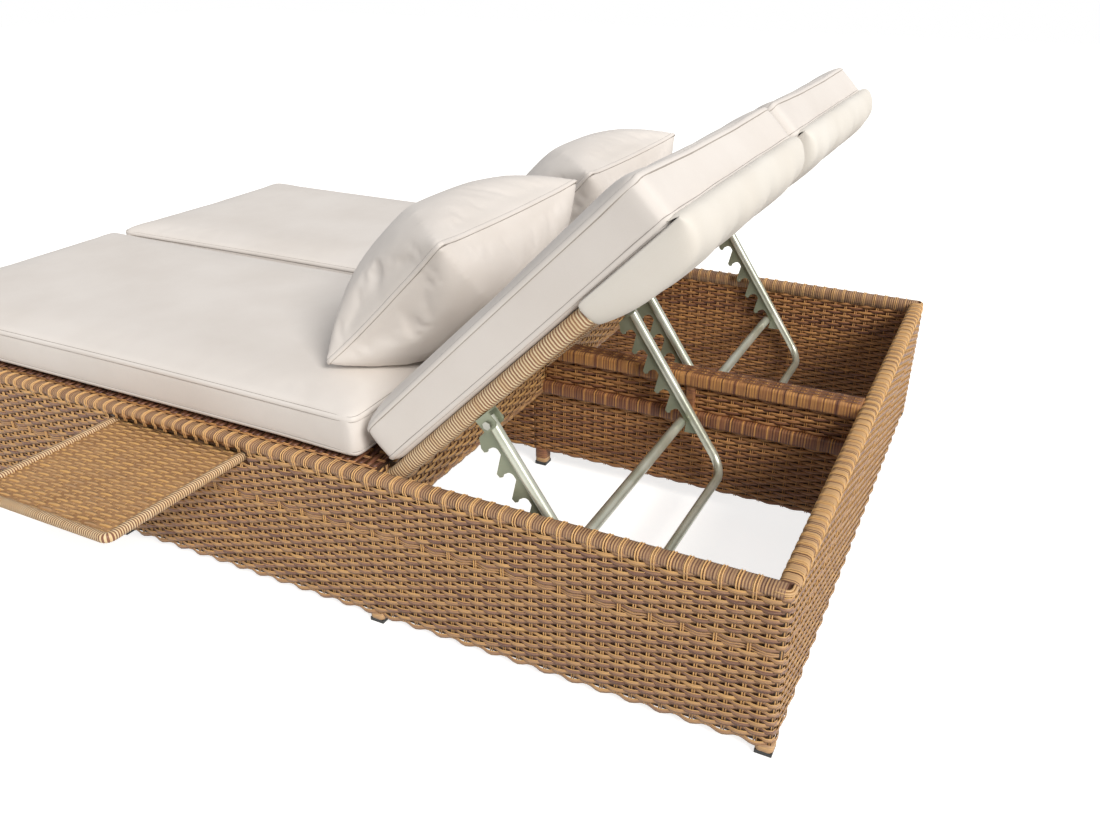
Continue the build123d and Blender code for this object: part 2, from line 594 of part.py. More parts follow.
# Tray runners: an angle under each of the two tray bearers, with a ledge below the tray's edge
RUNNER_BOTTOM = TRAY_TOP - TRAY_THICKNESS - RUNNER_GAP - RUNNER_WALL
with BuildPart() as tray_runners:
    with BuildSketch(Plane.YZ.offset(INNER_X - DECK_GAP)):
        for outward, edge_y in ((1, TRAY_HEAD_Y + RUNNER_GAP), (-1, TRAY_FOOT_Y - RUNNER_GAP)):
            web_y = edge_y + outward * RUNNER_WALL / 2
            ledge_y = edge_y + outward * (RUNNER_WALL - RUNNER_LEDGE) / 2
            upright(web_y, RUNNER_BOTTOM, BEARER_Z - HALF_TUBE, RUNNER_WALL)
            upright(ledge_y, RUNNER_BOTTOM, RUNNER_BOTTOM + RUNNER_WALL, RUNNER_LEDGE + RUNNER_WALL)
    extrude(amount=-TRAY_DEPTH - RUNNER_SPARE)
export_pair("tray_runners", tray_runners.part)


# Backrest rails: wrapped tubes, bored for the hinge pins
def back_rail(middle_x):
    with BuildPart() as rail:
        tail = BACK.from_local_coords(Vector(middle_x, -BACK_TAIL, 0))
        with BuildSketch(Plane(tail, BACK.x_dir, BACK.y_dir)):
            with Locations((0, -(RAIL_TOP + RAIL_BOTTOM) / 2)):
                RectangleRounded(RAIL_WIDTH, RAIL_DEPTH, RAIL_RADIUS)
                RectangleRounded(
                    RAIL_WIDTH - 2 * RAIL_WRAP_AND_WALL,
                    RAIL_DEPTH - 2 * RAIL_WRAP_AND_WALL,
                    RAIL_RADIUS - RAIL_WRAP_AND_WALL,
                    mode=Mode.SUBTRACT,
                )
        extrude(amount=BACK_TAIL + BACK_LENGTH)
        with BuildSketch(side_plane(BACK, middle_x)):
            Circle(HINGE_PIN / 2)
        extrude(amount=RAIL_WIDTH, both=True, mode=Mode.SUBTRACT)
    return rail.part


export_pair("back_rail_inner", back_rail(RAIL_CENTRES[0]))
export_pair("back_rail_outer", back_rail(RAIL_CENTRES[1]))


# Cross tubes of the backrest, between the rails and level with their tops
def cross_tubes(starts):
    with BuildPart() as tubes:
        with BuildSketch(side_plane(BACK, BACK_CENTRE)):
            with Locations(*[(start + CROSS_TUBE / 2, RAIL_TOP - CROSS_TUBE / 2) for start in starts]):
                Rectangle(CROSS_TUBE, CROSS_TUBE)
                Rectangle(CROSS_TUBE - 2 * TUBE_WALL, CROSS_TUBE - 2 * TUBE_WALL, mode=Mode.SUBTRACT)
        extrude(amount=CLEAR_BETWEEN_RAILS / 2, both=True)
    return tubes.part


export_pair("back_foot_tube", cross_tubes([FOOT_TUBE_START]))
export_pair("back_slats", cross_tubes([share * BACK_LENGTH for share in SLAT_PLACE_SHARES]))
export_pair("back_head_tube", cross_tubes([BACK_LENGTH - CROSS_TUBE]))

# Woven panel under the cross tubes, between the rails
PANEL_TOP = RAIL_TOP - CROSS_TUBE
PANEL_START = FOOT_TUBE_START + CROSS_TUBE
with BuildPart() as back_weave:
    with BuildSketch(BACK.offset(PANEL_TOP)):
        with Locations((BACK_CENTRE, (PANEL_START + BACK_LENGTH) / 2)):
            Rectangle(CLEAR_BETWEEN_RAILS, BACK_LENGTH - PANEL_START)
    extrude(amount=-PANEL_THICKNESS)
export_pair("back_weave", back_weave.part)


# Hinge pins: one through each rail and the lug beside it, headed on the rail's far side
PIN_SHANK = RAIL_WIDTH + 2 * HINGE_LUG_GAP + HINGE_LUG
with BuildPart() as hinge_pins:
    for rail_x, inward in zip(RAIL_CENTRES, (1, -1)):
        head_face = rail_x - inward * RAIL_WIDTH / 2
        with BuildSketch(side_plane(BACK, head_face)):
            Circle(HINGE_PIN / 2)
        extrude(amount=inward * PIN_SHANK)
        with BuildSketch(side_plane(BACK, head_face)):
            Circle(PIN_HEAD / 2)
        extrude(amount=-inward * PIN_HEAD_THICKNESS)
export_pair("hinge_pins", hinge_pins.part)


# Strut brackets: channels welded under the rails, open downwards, with bolt holes
BRACKET_INNER = STRUT_TUBE + 2 * BRACKET_GAP
BRACKET_OUTER = BRACKET_INNER + 2 * BRACKET_PLATE
BRACKET_FOOT = -PIVOT_DROP - BRACKET_SKIRT
with BuildPart() as strut_brackets:
    for rail_x in RAIL_CENTRES:
        with BuildSketch(side_plane(BACK, rail_x)) as cheek:
            with Locations((PIVOT_ALONG, (RAIL_BOTTOM + BRACKET_FOOT) / 2)):
                Rectangle(BRACKET_LENGTH, RAIL_BOTTOM - BRACKET_FOOT)
            chamfer(cheek.vertices().sort_by(Axis.Y)[:2], length=BRACKET_CHAMFER)
        extrude(amount=BRACKET_OUTER / 2, both=True)
        with BuildSketch(side_plane(BACK, rail_x)):
            with Locations((PIVOT_ALONG, RAIL_BOTTOM - BRACKET_PLATE - OVERRUN / 2)):
                Rectangle(OVERRUN, OVERRUN)
        extrude(amount=BRACKET_INNER / 2, both=True, mode=Mode.SUBTRACT)
        with BuildSketch(side_plane(BACK, rail_x)):
            with Locations((PIVOT_ALONG, -PIVOT_DROP)):
                Circle(BOLT / 2)
        extrude(amount=BRACKET_OUTER, both=True, mode=Mode.SUBTRACT)
export_pair("strut_brackets", strut_brackets.part)

# Strut bolts: hexagon head outside one cheek of the bracket, nut outside the other
with BuildPart() as strut_bolts:
    for rail_x in RAIL_CENTRES:
        with BuildSketch(side_plane(BACK, rail_x)):
            with Locations((PIVOT_ALONG, -PIVOT_DROP)):
                Circle(BOLT / 2)
        extrude(amount=BRACKET_OUTER / 2, both=True)
        for outward in (1, -1):
            with BuildSketch(side_plane(BACK, rail_x + outward * BRACKET_OUTER / 2)):
                with Locations((PIVOT_ALONG, -PIVOT_DROP)):
                    RegularPolygon(BOLT_HEAD / 2, 6, major_radius=False)
            extrude(amount=outward * BOLT_HEAD_THICKNESS)
export_pair("strut_bolts", strut_bolts.part)


# Struts: one tube bent twice, two legs and a cross piece, bored for the bolts
with BuildPart() as strut_tube:
    with BuildLine(STRUT):
        FilletPolyline(
            (RAIL_CENTRES[0], -STRUT_TOP),
            (RAIL_CENTRES[0], STRUT_LENGTH),
            (RAIL_CENTRES[1], STRUT_LENGTH),
            (RAIL_CENTRES[1], -STRUT_TOP),
            radius=STRUT_BEND,
        )
    leg_top = STRUT.from_local_coords(Vector(RAIL_CENTRES[0], -STRUT_TOP, 0))
    with BuildSketch(Plane(origin=leg_top, x_dir=STRUT.x_dir, z_dir=STRUT.y_dir)):
        Circle(STRUT_TUBE / 2)
        Circle(STRUT_TUBE / 2 - STRUT_WALL, mode=Mode.SUBTRACT)
    sweep()
    with BuildSketch(side_plane(STRUT, RAIL_CENTRES[0] - STRUT_TUBE)):
        Circle(BOLT / 2 + RUNNING_FIT)
    extrude(amount=RAIL_CENTRES[1] - RAIL_CENTRES[0] + 2 * STRUT_TUBE, mode=Mode.SUBTRACT)
export_pair("strut_tube", strut_tube.part)


# Racks: plates with hooked teeth along the legs. The rest bar stands in the notch past the last hook.
def rack_outline():
    """The plate's edge, along the leg and out from its middle line."""
    base = STRUT_TUBE / 2
    edge = [(RACK_START, base), (RACK_START + RACK_SHOULDER, TOOTH_REACH - RACK_SHOULDER)]
    for tooth in range(TOOTH_COUNT):
        tip = FIRST_TIP + tooth * TOOTH_PITCH
        roof = tip - TOOTH_LIP
        edge += [
            (tip - TOOTH_FLAT - TOOTH_CHAMFER, TOOTH_REACH),
            (tip - TOOTH_CHAMFER, TOOTH_REACH - TOOTH_CHAMFER),
            (tip, TOOTH_REACH - TOOTH_TIP_WIDTH),
            (roof, TOOTH_REACH - TOOTH_TIP_WIDTH - TOOTH_LIP),
            (roof, NOTCH_WALL + NOTCH_RADIUS),
        ]
        Polyline(*edge)
        CenterArc((roof + NOTCH_RADIUS, NOTCH_WALL + NOTCH_RADIUS), NOTCH_RADIUS, 180, 90)
        edge = [(roof + NOTCH_RADIUS, NOTCH_WALL)]
        if tooth < TOOTH_COUNT - 1:
            edge.append((tip + NOTCH_RADIUS + TOOTH_LIP, NOTCH_WALL))
    ramp = REST_BAR_ALONG + RACK_END_FLAT
    edge += [
        (ramp, NOTCH_WALL),
        (ramp + LAST_TOOTH_RUN, NOTCH_WALL + LAST_TOOTH_RISE),
        (ramp + LAST_TOOTH_RUN + LAST_TOOTH_TAIL, base),
        (RACK_START, base),
    ]
    Polyline(*edge)


def rack(leg_x):
    with BuildPart() as plate:
        leg = STRUT.from_local_coords(Vector(leg_x, 0, 0))
        with BuildSketch(Plane(leg, STRUT.y_dir, -STRUT.x_dir)):
            with BuildLine():
                rack_outline()
            make_face()
        extrude(amount=RACK_THICKNESS / 2, both=True)
    return plate.part


export_pair("rack_inner", rack(RAIL_CENTRES[0]))
export_pair("rack_outer", rack(RAIL_CENTRES[1]))


# Cushions: boxed, with a crown and sides that draw in between rounded corners
def cushion_edges(width, length):
    half_w, half_l = width / 2, length / 2
    ThreePointArc((-half_w, -half_l), (0, CUSHION_DRAW_IN - half_l), (half_w, -half_l))
    ThreePointArc((half_w, -half_l), (half_w - CUSHION_DRAW_IN, 0), (half_w, half_l))
    ThreePointArc((half_w, half_l), (0, half_l - CUSHION_DRAW_IN), (-half_w, half_l))
    ThreePointArc((-half_w, half_l), (CUSHION_DRAW_IN - half_w, 0), (-half_w, -half_l))


def crown_edges(span):
    half = span / 2
    Polyline((-half, CUSHION_THICKNESS), (-half, 0), (half, 0), (half, CUSHION_THICKNESS))
    crown = CUSHION_THICKNESS + CUSHION_CROWN
    ThreePointArc((half, CUSHION_THICKNESS), (0, crown), (-half, CUSHION_THICKNESS))


def cushion(plane, length, near_round):
    """A cushion centred on the plane's origin, with its flat underside on the plane.

    near_round rounds the upper edge at the plane's minus y end, where it is not zero.
    """
    with BuildPart() as body:
        with BuildSketch(plane) as plan:
            with BuildLine():
                cushion_edges(CUSHION_WIDTH, length)
            make_face()
            fillet(plan.vertices(), radius=CUSHION_CORNER)
        extrude(amount=CUSHION_THICKNESS + CUSHION_CROWN)
        underside = body.faces().sort_by(Axis(plane.origin, plane.z_dir))[0]
        fillet(underside.edges(), radius=CUSHION_BOTTOM_ROUND)
        with BuildSketch(Plane(plane.origin, plane.x_dir, -plane.y_dir).offset(-length)):
            with BuildLine():
                crown_edges(CUSHION_WIDTH)
            make_face()
        extrude(amount=2 * length, mode=Mode.INTERSECT)
        with BuildSketch(Plane(plane.origin, plane.y_dir, plane.x_dir).offset(-CUSHION_WIDTH)) as side:
            with BuildLine():
                crown_edges(length)
            make_face()
            if near_round:
                fillet(side.vertices().sort_by(Axis.X)[:2].sort_by(Axis.Y)[-1], radius=near_round)
        extrude(amount=2 * CUSHION_WIDTH, mode=Mode.INTERSECT)
    return body.part


SEAT_CUSHION_HEAD = HALF_LENGTH - SEAT_CUSHION_FROM_HEAD
SEAT_CUSHION_FOOT = SEAT_CUSHION_FOOT_INSET - HALF_LENGTH
SEAT_CUSHION_MIDDLE = (SEAT_CUSHION_HEAD + SEAT_CUSHION_FOOT) / 2
seat_plane = Plane((CUSHION_CENTRE, SEAT_CUSHION_MIDDLE, DECK_TOP + SEAT_GAP))
export_pair("seat_cushion", cushion(seat_plane, SEAT_CUSHION_HEAD - SEAT_CUSHION_FOOT, 0))

BACK_CUSHION_MIDDLE = (BACK_CUSHION_START + BACK_CUSHION_END) / 2
BACK_CUSHION_REST = RAIL_TOP + SEAT_GAP
back_cushion_centre = BACK.from_local_coords(Vector(CUSHION_CENTRE, BACK_CUSHION_MIDDLE, BACK_CUSHION_REST))
back_cushion_plane = Plane(back_cushion_centre, BACK.x_dir, BACK.z_dir)
back_cushion = cushion(back_cushion_plane, BACK_CUSHION_END - BACK_CUSHION_START, BACK_CUSHION_ROUND)
export_pair("back_cushion", back_cushion)


# Sleeve: a bag of cloth round the frame's head end, open at the top against the cushion
POCKET_END = BACK_CUSHION_END + POCKET_SLACK
POCKET_START = POCKET_END - POCKET_LENGTH
POCKET_WIDTH = BACK_WIDTH + 2 * (POCKET_CLOTH + POCKET_SIDE_GAP)
POCKET_MOUTH = (POCKET_START, -POCKET_MOUTH_DROP)
POCKET_FULL = (POCKET_START + POCKET_FULL_SHARE * POCKET_LENGTH, -POCKET_DROP)
POCKET_HEEL = (POCKET_START + POCKET_HEEL_SHARE * POCKET_LENGTH, -POCKET_DROP)
POCKET_TOE = (POCKET_START + POCKET_TOE_SHARE * POCKET_LENGTH, -POCKET_TOE_DROP)
with BuildPart() as pocket:
    with BuildSketch(side_plane(BACK, BACK_CENTRE)):
        with BuildLine():
            Polyline(POCKET_MOUTH, (POCKET_START, RAIL_TOP), (POCKET_END, RAIL_TOP), POCKET_TOE, POCKET_HEEL)
            Line(POCKET_HEEL, POCKET_FULL)
            TangentArc(POCKET_FULL, POCKET_MOUTH, tangent=(-1, 0))
        make_face()
    extrude(amount=POCKET_WIDTH / 2, both=True)
    top = pocket.faces().sort_by(Axis(BACK.origin, BACK.z_dir))[-1]
    mouth = pocket.faces().sort_by(Axis(BACK.origin, BACK.y_dir))[0]
    offset(amount=-POCKET_CLOTH, openings=[top, mouth], kind=Kind.INTERSECTION)
export_pair("pocket", pocket.part)


# Throw pillows: plump, thinning to a sewn edge, drawn in between pointed corners
def pillow_edges(swell):
    thick = PILLOW_HALF_THICKNESS * (PILLOW_END_SHARE + (1 - PILLOW_END_SHARE) * swell)
    half = PILLOW_HEIGHT / 2 - PILLOW_DRAW_IN * swell
    for face in (1, -1):
        shoulder = (PILLOW_SHOULDER_SHARES[0] * half, face * PILLOW_SHOULDER_SHARES[1] * thick)
        flank = (PILLOW_FLANK_SHARES[0] * half, face * PILLOW_FLANK_SHARES[1] * thick)
        edge = (half, face * PILLOW_EDGE)
        ThreePointArc(edge, flank, shoulder)
        ThreePointArc(shoulder, (0, face * thick), (-shoulder[0], shoulder[1]))
        ThreePointArc((-shoulder[0], shoulder[1]), (-flank[0], flank[1]), (-edge[0], edge[1]))
    for end in (half, -half):
        Line((end, -PILLOW_EDGE), (end, PILLOW_EDGE))


BACK_SURFACE = RAIL_TOP + CUSHION_THICKNESS + PILLOW_BACK_CROWN_SHARE * CUSHION_CROWN + 2 * SEAT_GAP
PILLOW_RISE = BACK_SURFACE + PILLOW_HALF_THICKNESS
SEAT_SURFACE = DECK_TOP + CUSHION_THICKNESS + PILLOW_SEAT_CROWN_SHARE * CUSHION_CROWN + 2 * SEAT_GAP
lean = radians(BACK_ANGLE)
half_height = PILLOW_HEIGHT / 2 - PILLOW_DRAW_IN
pillow_reach = sqrt((half_height * sin(lean)) ** 2 + (PILLOW_HALF_THICKNESS * cos(lean)) ** 2)
PILLOW_ALONG = (SEAT_SURFACE - HINGE_Z + pillow_reach - PILLOW_RISE * cos(lean)) / sin(lean)
with BuildPart() as pillow:
    for share in PILLOW_STATION_SHARES:
        across = PILLOW_CENTRE_X + share * PILLOW_WIDTH / 2
        station = BACK.from_local_coords(Vector(across, PILLOW_ALONG, PILLOW_RISE))
        with BuildSketch(Plane(station, BACK.y_dir, BACK.x_dir)):
            with BuildLine():
                pillow_edges(1 - abs(share) ** PILLOW_FULLNESS)
            make_face()
    loft()
export_pair("pillow", pillow.part)
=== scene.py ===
"""Double chaise lounger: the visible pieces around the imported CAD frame.

Metres in Blender. Sizes are written in millimetres and turned by MM. +X is the right side, +Y the head end,
+Z up, and the origin is on the floor in the middle of the base.
"""

import json
import logging
import math
from dataclasses import dataclass, field
from enum import Enum
from functools import cache
from typing import Any, Callable, Optional, Sequence, Union

import bmesh
import bpy
import numpy as np
from mathutils import Matrix, Vector
from mathutils.bvhtree import BVHTree

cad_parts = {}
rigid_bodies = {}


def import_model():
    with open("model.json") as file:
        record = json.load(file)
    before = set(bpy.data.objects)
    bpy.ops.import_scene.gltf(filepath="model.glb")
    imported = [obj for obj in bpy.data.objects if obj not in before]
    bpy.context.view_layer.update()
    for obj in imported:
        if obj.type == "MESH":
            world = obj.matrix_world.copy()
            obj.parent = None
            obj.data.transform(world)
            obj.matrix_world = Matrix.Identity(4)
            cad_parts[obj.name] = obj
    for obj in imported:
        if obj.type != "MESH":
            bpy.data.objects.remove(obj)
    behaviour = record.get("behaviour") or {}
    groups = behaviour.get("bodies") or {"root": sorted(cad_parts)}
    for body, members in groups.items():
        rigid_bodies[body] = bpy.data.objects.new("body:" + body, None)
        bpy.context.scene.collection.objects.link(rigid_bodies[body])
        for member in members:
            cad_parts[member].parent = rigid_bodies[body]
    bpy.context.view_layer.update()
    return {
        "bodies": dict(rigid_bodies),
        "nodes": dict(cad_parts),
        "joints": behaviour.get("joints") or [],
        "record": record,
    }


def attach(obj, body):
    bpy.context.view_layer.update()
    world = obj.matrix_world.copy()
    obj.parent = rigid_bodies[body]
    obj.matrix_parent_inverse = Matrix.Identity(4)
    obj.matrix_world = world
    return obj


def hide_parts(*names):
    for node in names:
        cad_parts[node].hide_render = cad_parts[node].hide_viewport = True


LOG = logging.getLogger("lounger")
MM = 0.001
ALONG, ACROSS, TONE = "along", "across", "tone"
UP = (0.0, 0.0, 1.0)
CLOTH_FRAMES = 20
BAND_SMOOTHING = 3
# Half a sewn band's section: across over its width, height over its lift, and the across value.
BAND_HALF = ((0.0, 1.1, 0.0), (0.36, 0.8, 0.5), (0.48, 0.3, 1.0), (0.5, -1.0, 1.0))
BAND_UNDER = (0.0, -2.2, 0.0)
# The corners of a block's faces, with the four lower corners first.
BLOCK_FACES = ((3, 2, 1, 0), (4, 5, 6, 7), (0, 1, 5, 4), (1, 2, 6, 5), (2, 3, 7, 6), (3, 0, 4, 7))


class Side(Enum):
    """One half of the lounger; the value is the sign of X."""

    RIGHT = 1
    LEFT = -1

    @property
    def word(self) -> str:
        """The side's name as the CAD nodes write it."""
        return self.name.lower()


def linear(colour: str) -> tuple[float, float, float, float]:
    """Turns an sRGB hex colour into the linear RGBA that Blender's sockets take.

    Args:
        colour: "#RRGGBB".

    Returns:
        Linear red, green, blue and an alpha of 1.
    """
    parts = [int(colour[i : i + 2], 16) / 255 for i in (1, 3, 5)]
    return tuple(c / 12.92 if c <= 0.04045 else ((c + 0.055) / 1.055) ** 2.4 for c in parts) + (1.0,)


def add_node(
    tree: bpy.types.NodeTree, kind: str, settings: Optional[dict[Any, Any]] = None,
    links: Optional[dict[Any, Any]] = None,
) -> bpy.types.Node:
    """Adds one shader node.

    Args:
        tree: the material's or world's node tree.
        kind: Blender's type name, without "ShaderNode".
        settings: values by input name or index, or by attribute name.
        links: sockets to connect, by input name or index.

    Returns:
        The new node.
    """
    node = tree.nodes.new("ShaderNode" + kind)
    for key, value in (settings or {}).items():
        if isinstance(key, int) or key in node.inputs:
            node.inputs[key].default_value = value
        else:
            setattr(node, key, value)
    for key, socket in (links or {}).items():
        tree.links.new(socket, node.inputs[key])
    return node


def new_material(name: str) -> tuple[bpy.types.Material, bpy.types.NodeTree]:
    """Makes an empty node material and returns it with its tree."""
    material = bpy.data.materials.new(name)
    material.use_nodes = True
    material.node_tree.nodes.clear()
    return material, material.node_tree


def math_node(
    tree: bpy.types.NodeTree, operation: str, first: Any, second: Any = 0.0, clamp: bool = False
) -> Any:
    """Adds a Math node whose inputs are sockets or numbers, and returns its output socket."""
    node = add_node(tree, "Math", {"operation": operation, "use_clamp": clamp})
    for index, value in enumerate((first, second)):
        if isinstance(value, (int, float)):
            node.inputs[index].default_value = value
        else:
            tree.links.new(value, node.inputs[index])
    return node.outputs[0]


def ramp(tree: bpy.types.NodeTree, factor: Any, stops: Sequence[tuple[float, str]]) -> Any:
    """Adds a colour ramp with hex stops and returns its colour socket."""
    node = add_node(tree, "ValToRGB", links={"Fac": factor})
    elements = node.color_ramp.elements
    while len(elements) < len(stops):
        elements.new(0.5)
    for element, (place, colour) in zip(elements, stops):
        element.position = place
        element.color = linear(colour)
    return node.outputs["Color"]


def attribute(tree: bpy.types.NodeTree, name: str) -> Any:
    """Reads a mesh attribute and returns its value socket."""
    return add_node(tree, "Attribute", {"attribute_name": name}).outputs["Fac"]


def noise(tree: bpy.types.NodeTree, place: Any, scale: float, detail: float, roughness: float = 0.5) -> Any:
    """Adds a noise texture at a place socket and returns its value socket."""
    settings = {"Scale": scale, "Detail": detail, "Roughness": roughness}
    return add_node(tree, "TexNoise", settings, {"Vector": place}).outputs["Fac"]


def smooth_step(tree: bpy.types.NodeTree, value: Any, low: float, high: float) -> Any:
    """Adds a smooth rise from 0 at low to 1 at high and returns its socket."""
    settings = {"From Min": low, "From Max": high, "interpolation_type": "SMOOTHSTEP"}
    return add_node(tree, "MapRange", settings, {"Value": value}).outputs[0]


def tinted(tree: bpy.types.NodeTree, base: Any, share: Any, colour: str) -> Any:
    """Mixes a share of a hex colour into a colour socket and returns the result."""
    return add_node(tree, "Mix", {"data_type": "RGBA", 7: linear(colour)}, {0: share, 6: base}).outputs[2]


def surface(
    tree: bpy.types.NodeTree, settings: dict[str, float], links: dict[str, Any], height: Any, strength: float,
    depth: float,
) -> None:
    """Ends a material with its bump, its shader and its output.

    Args:
        tree: the material's node tree.
        settings: the shader's even values.
        links: the shader's linked sockets, apart from its normal.
        height: the bump's height socket.
        strength: how strong the bump is.
        depth: how deep it is, in millimetres.
    """
    bump = add_node(tree, "Bump", {"Strength": strength, "Distance": depth * MM}, {"Height": height})
    shader = add_node(tree, "BsdfPrincipled", settings, {**links, "Normal": bump.outputs[0]})
    add_node(tree, "OutputMaterial", links={"Surface": shader.outputs[0]})


@dataclass(frozen=True)
class ResinWicker:
    """Polyethylene wicker, extruded as flat strands with streaks of two or three colours along them.

    The streaks run for centimetres along a strand, its upper edge carries a lighter line of painted
    highlight, where light catches it, and the surface has the soft gloss of extruded plastic.
    """

    name: str
    stops: tuple[tuple[float, str], ...]
    # Colour of the painted highlight on each strand's upper edge; the next two fields set its strength and
    # its rise.
    edge: str
    edge_share: float = 0.75
    edge_rise: tuple[float, float] = (0.45, 0.85)
    streak_mm: float = 150.0
    streaks_across: float = 1.5
    streak_share: float = 0.8
    tone_shift: float = 61.0
    tone_spread: float = 2.6
    roughness: float = 0.5
    ior: float = 1.51

    def build(self) -> bpy.types.Material:
        """Makes the material from the strands' along, across and tone attributes."""
        material, tree = new_material(self.name)
        along, across, tone = (attribute(tree, name) for name in (ALONG, ACROSS, TONE))
        places = {
            "X": math_node(tree, "DIVIDE", along, self.streak_mm),
            "Y": math_node(tree, "MULTIPLY", across, self.streaks_across),
            "Z": math_node(tree, "MULTIPLY", tone, self.tone_shift),
        }
        place = add_node(tree, "CombineXYZ", links=places).outputs[0]
        streak = noise(tree, place, scale=1.6, detail=4.0, roughness=0.65)
        spread = self.tone_spread * self.streak_share
        shift = math_node(tree, "MULTIPLY", math_node(tree, "SUBTRACT", streak, 0.5), spread)
        body = ramp(tree, math_node(tree, "ADD", tone, shift, clamp=True), self.stops)
        # Painted highlight: the strand's upper edge, where across rises towards 1, is mixed towards the edge
        # colour.
        share = math_node(tree, "MULTIPLY", smooth_step(tree, across, *self.edge_rise), self.edge_share)
        colour = tinted(tree, body, share, self.edge)
        height = math_node(tree, "MULTIPLY", streak, 0.5)
        settings = {"Roughness": self.roughness, "IOR": self.ior}
        surface(tree, settings, {"Base Color": colour}, height, strength=0.5, depth=0.4)
        return material


@dataclass(frozen=True)
class WovenCanvas:
    """Solution-dyed polyester canvas: a plain weave, seen as smooth matt cloth with a faint thread grid.

    Real threads are about 0.5 mm apart, too fine for the render, so the grid is drawn at thread_mm. The sewn
    bands carry the across attribute, whose ends mark the stitched grooves, darkened with painted shade.
    """

    name: str
    colour: str
    shade: str
    # Colour of the painted shade in the stitched grooves at the sewn bands' edges.
    line: str
    line_share: float = 0.85
    line_rise: tuple[float, float] = (0.62, 0.92)
    thread_mm: float = 1.5
    wave_scale: float = 0.314
    sheen: float = 0.12
    roughness: float = 0.86
    ior: float = 1.46

    def build(self) -> bpy.types.Material:
        """Makes the material from object coordinates, so that it needs no UV map."""
        material, tree = new_material(self.name)
        place = add_node(tree, "TexCoord").outputs["Object"]
        cloud = noise(tree, place, scale=5.0, detail=4.0, roughness=0.55)
        fibre = noise(tree, place, scale=900.0, detail=2.0, roughness=0.7)
        broad, close = math_node(tree, "MULTIPLY", cloud, 0.75), math_node(tree, "MULTIPLY", fibre, 0.25)
        mottle = math_node(tree, "ADD", broad, close)
        base = ramp(tree, mottle, ((0.34, self.shade), (0.62, self.colour)))
        # Painted shade: the cloth darkens towards line where across nears 1 or -1, in the grooves by the
        # stitches.
        line = smooth_step(tree, math_node(tree, "ABSOLUTE", attribute(tree, ACROSS)), *self.line_rise)
        colour = tinted(tree, base, math_node(tree, "MULTIPLY", line, self.line_share), self.line)
        bands = {"wave_type": "BANDS", "Scale": self.wave_scale / (self.thread_mm * MM), "Distortion": 0.6}
        threads = []
        for direction in ("X", "Z"):
            settings = {**bands, "bands_direction": direction}
            threads.append(add_node(tree, "TexWave", settings, {"Vector": place}).outputs["Fac"])
        weave = math_node(tree, "MULTIPLY", *threads)
        relief = math_node(tree, "ADD", math_node(tree, "MULTIPLY", weave, 0.5), fibre)
        cloth = {"Roughness": self.roughness, "IOR": self.ior}
        cloth.update({"Sheen Weight": self.sheen, "Sheen Roughness": 0.5})
        surface(tree, cloth, {"Base Color": colour}, relief, strength=0.22, depth=0.25)
        return material


@dataclass(frozen=True)
class PowderCoat:
    """Polyester powder coat on steel tube: baked paint with a fine orange peel, satin, and some metal flake.

    With no metal and more roughness it also gives moulded plastic and the matt blocks behind the weave: dark
    ones that are painted shade between the strands, and a tan one under the trays.
    """

    name: str
    colour: str
    shade: str
    metallic: float = 0.0
    roughness: float = 0.4
    peel_mm: float = 2.5
    peel_strength: float = 0.15
    coat: float = 0.0

    def build(self) -> bpy.types.Material:
        """Makes the material, with its peel as a bump."""
        material, tree = new_material(self.name)
        place = add_node(tree, "TexCoord").outputs["Object"]
        peel = noise(tree, place, scale=1 / (self.peel_mm * MM), detail=2.0)
        broad = noise(tree, place, scale=14.0, detail=3.0)
        colour = ramp(tree, broad, ((0.38, self.shade), (0.6, self.colour)))
        spread = {"To Min": self.roughness - 0.05, "To Max": self.roughness + 0.08}
        rough = add_node(tree, "MapRange", spread, {"Value": broad}).outputs[0]
        settings = {"Metallic": self.metallic, "Coat Weight": self.coat, "Coat Roughness": 0.2}
        links = {"Base Color": colour, "Roughness": rough}
        surface(tree, settings, links, peel, strength=self.peel_strength, depth=0.1)
        return material


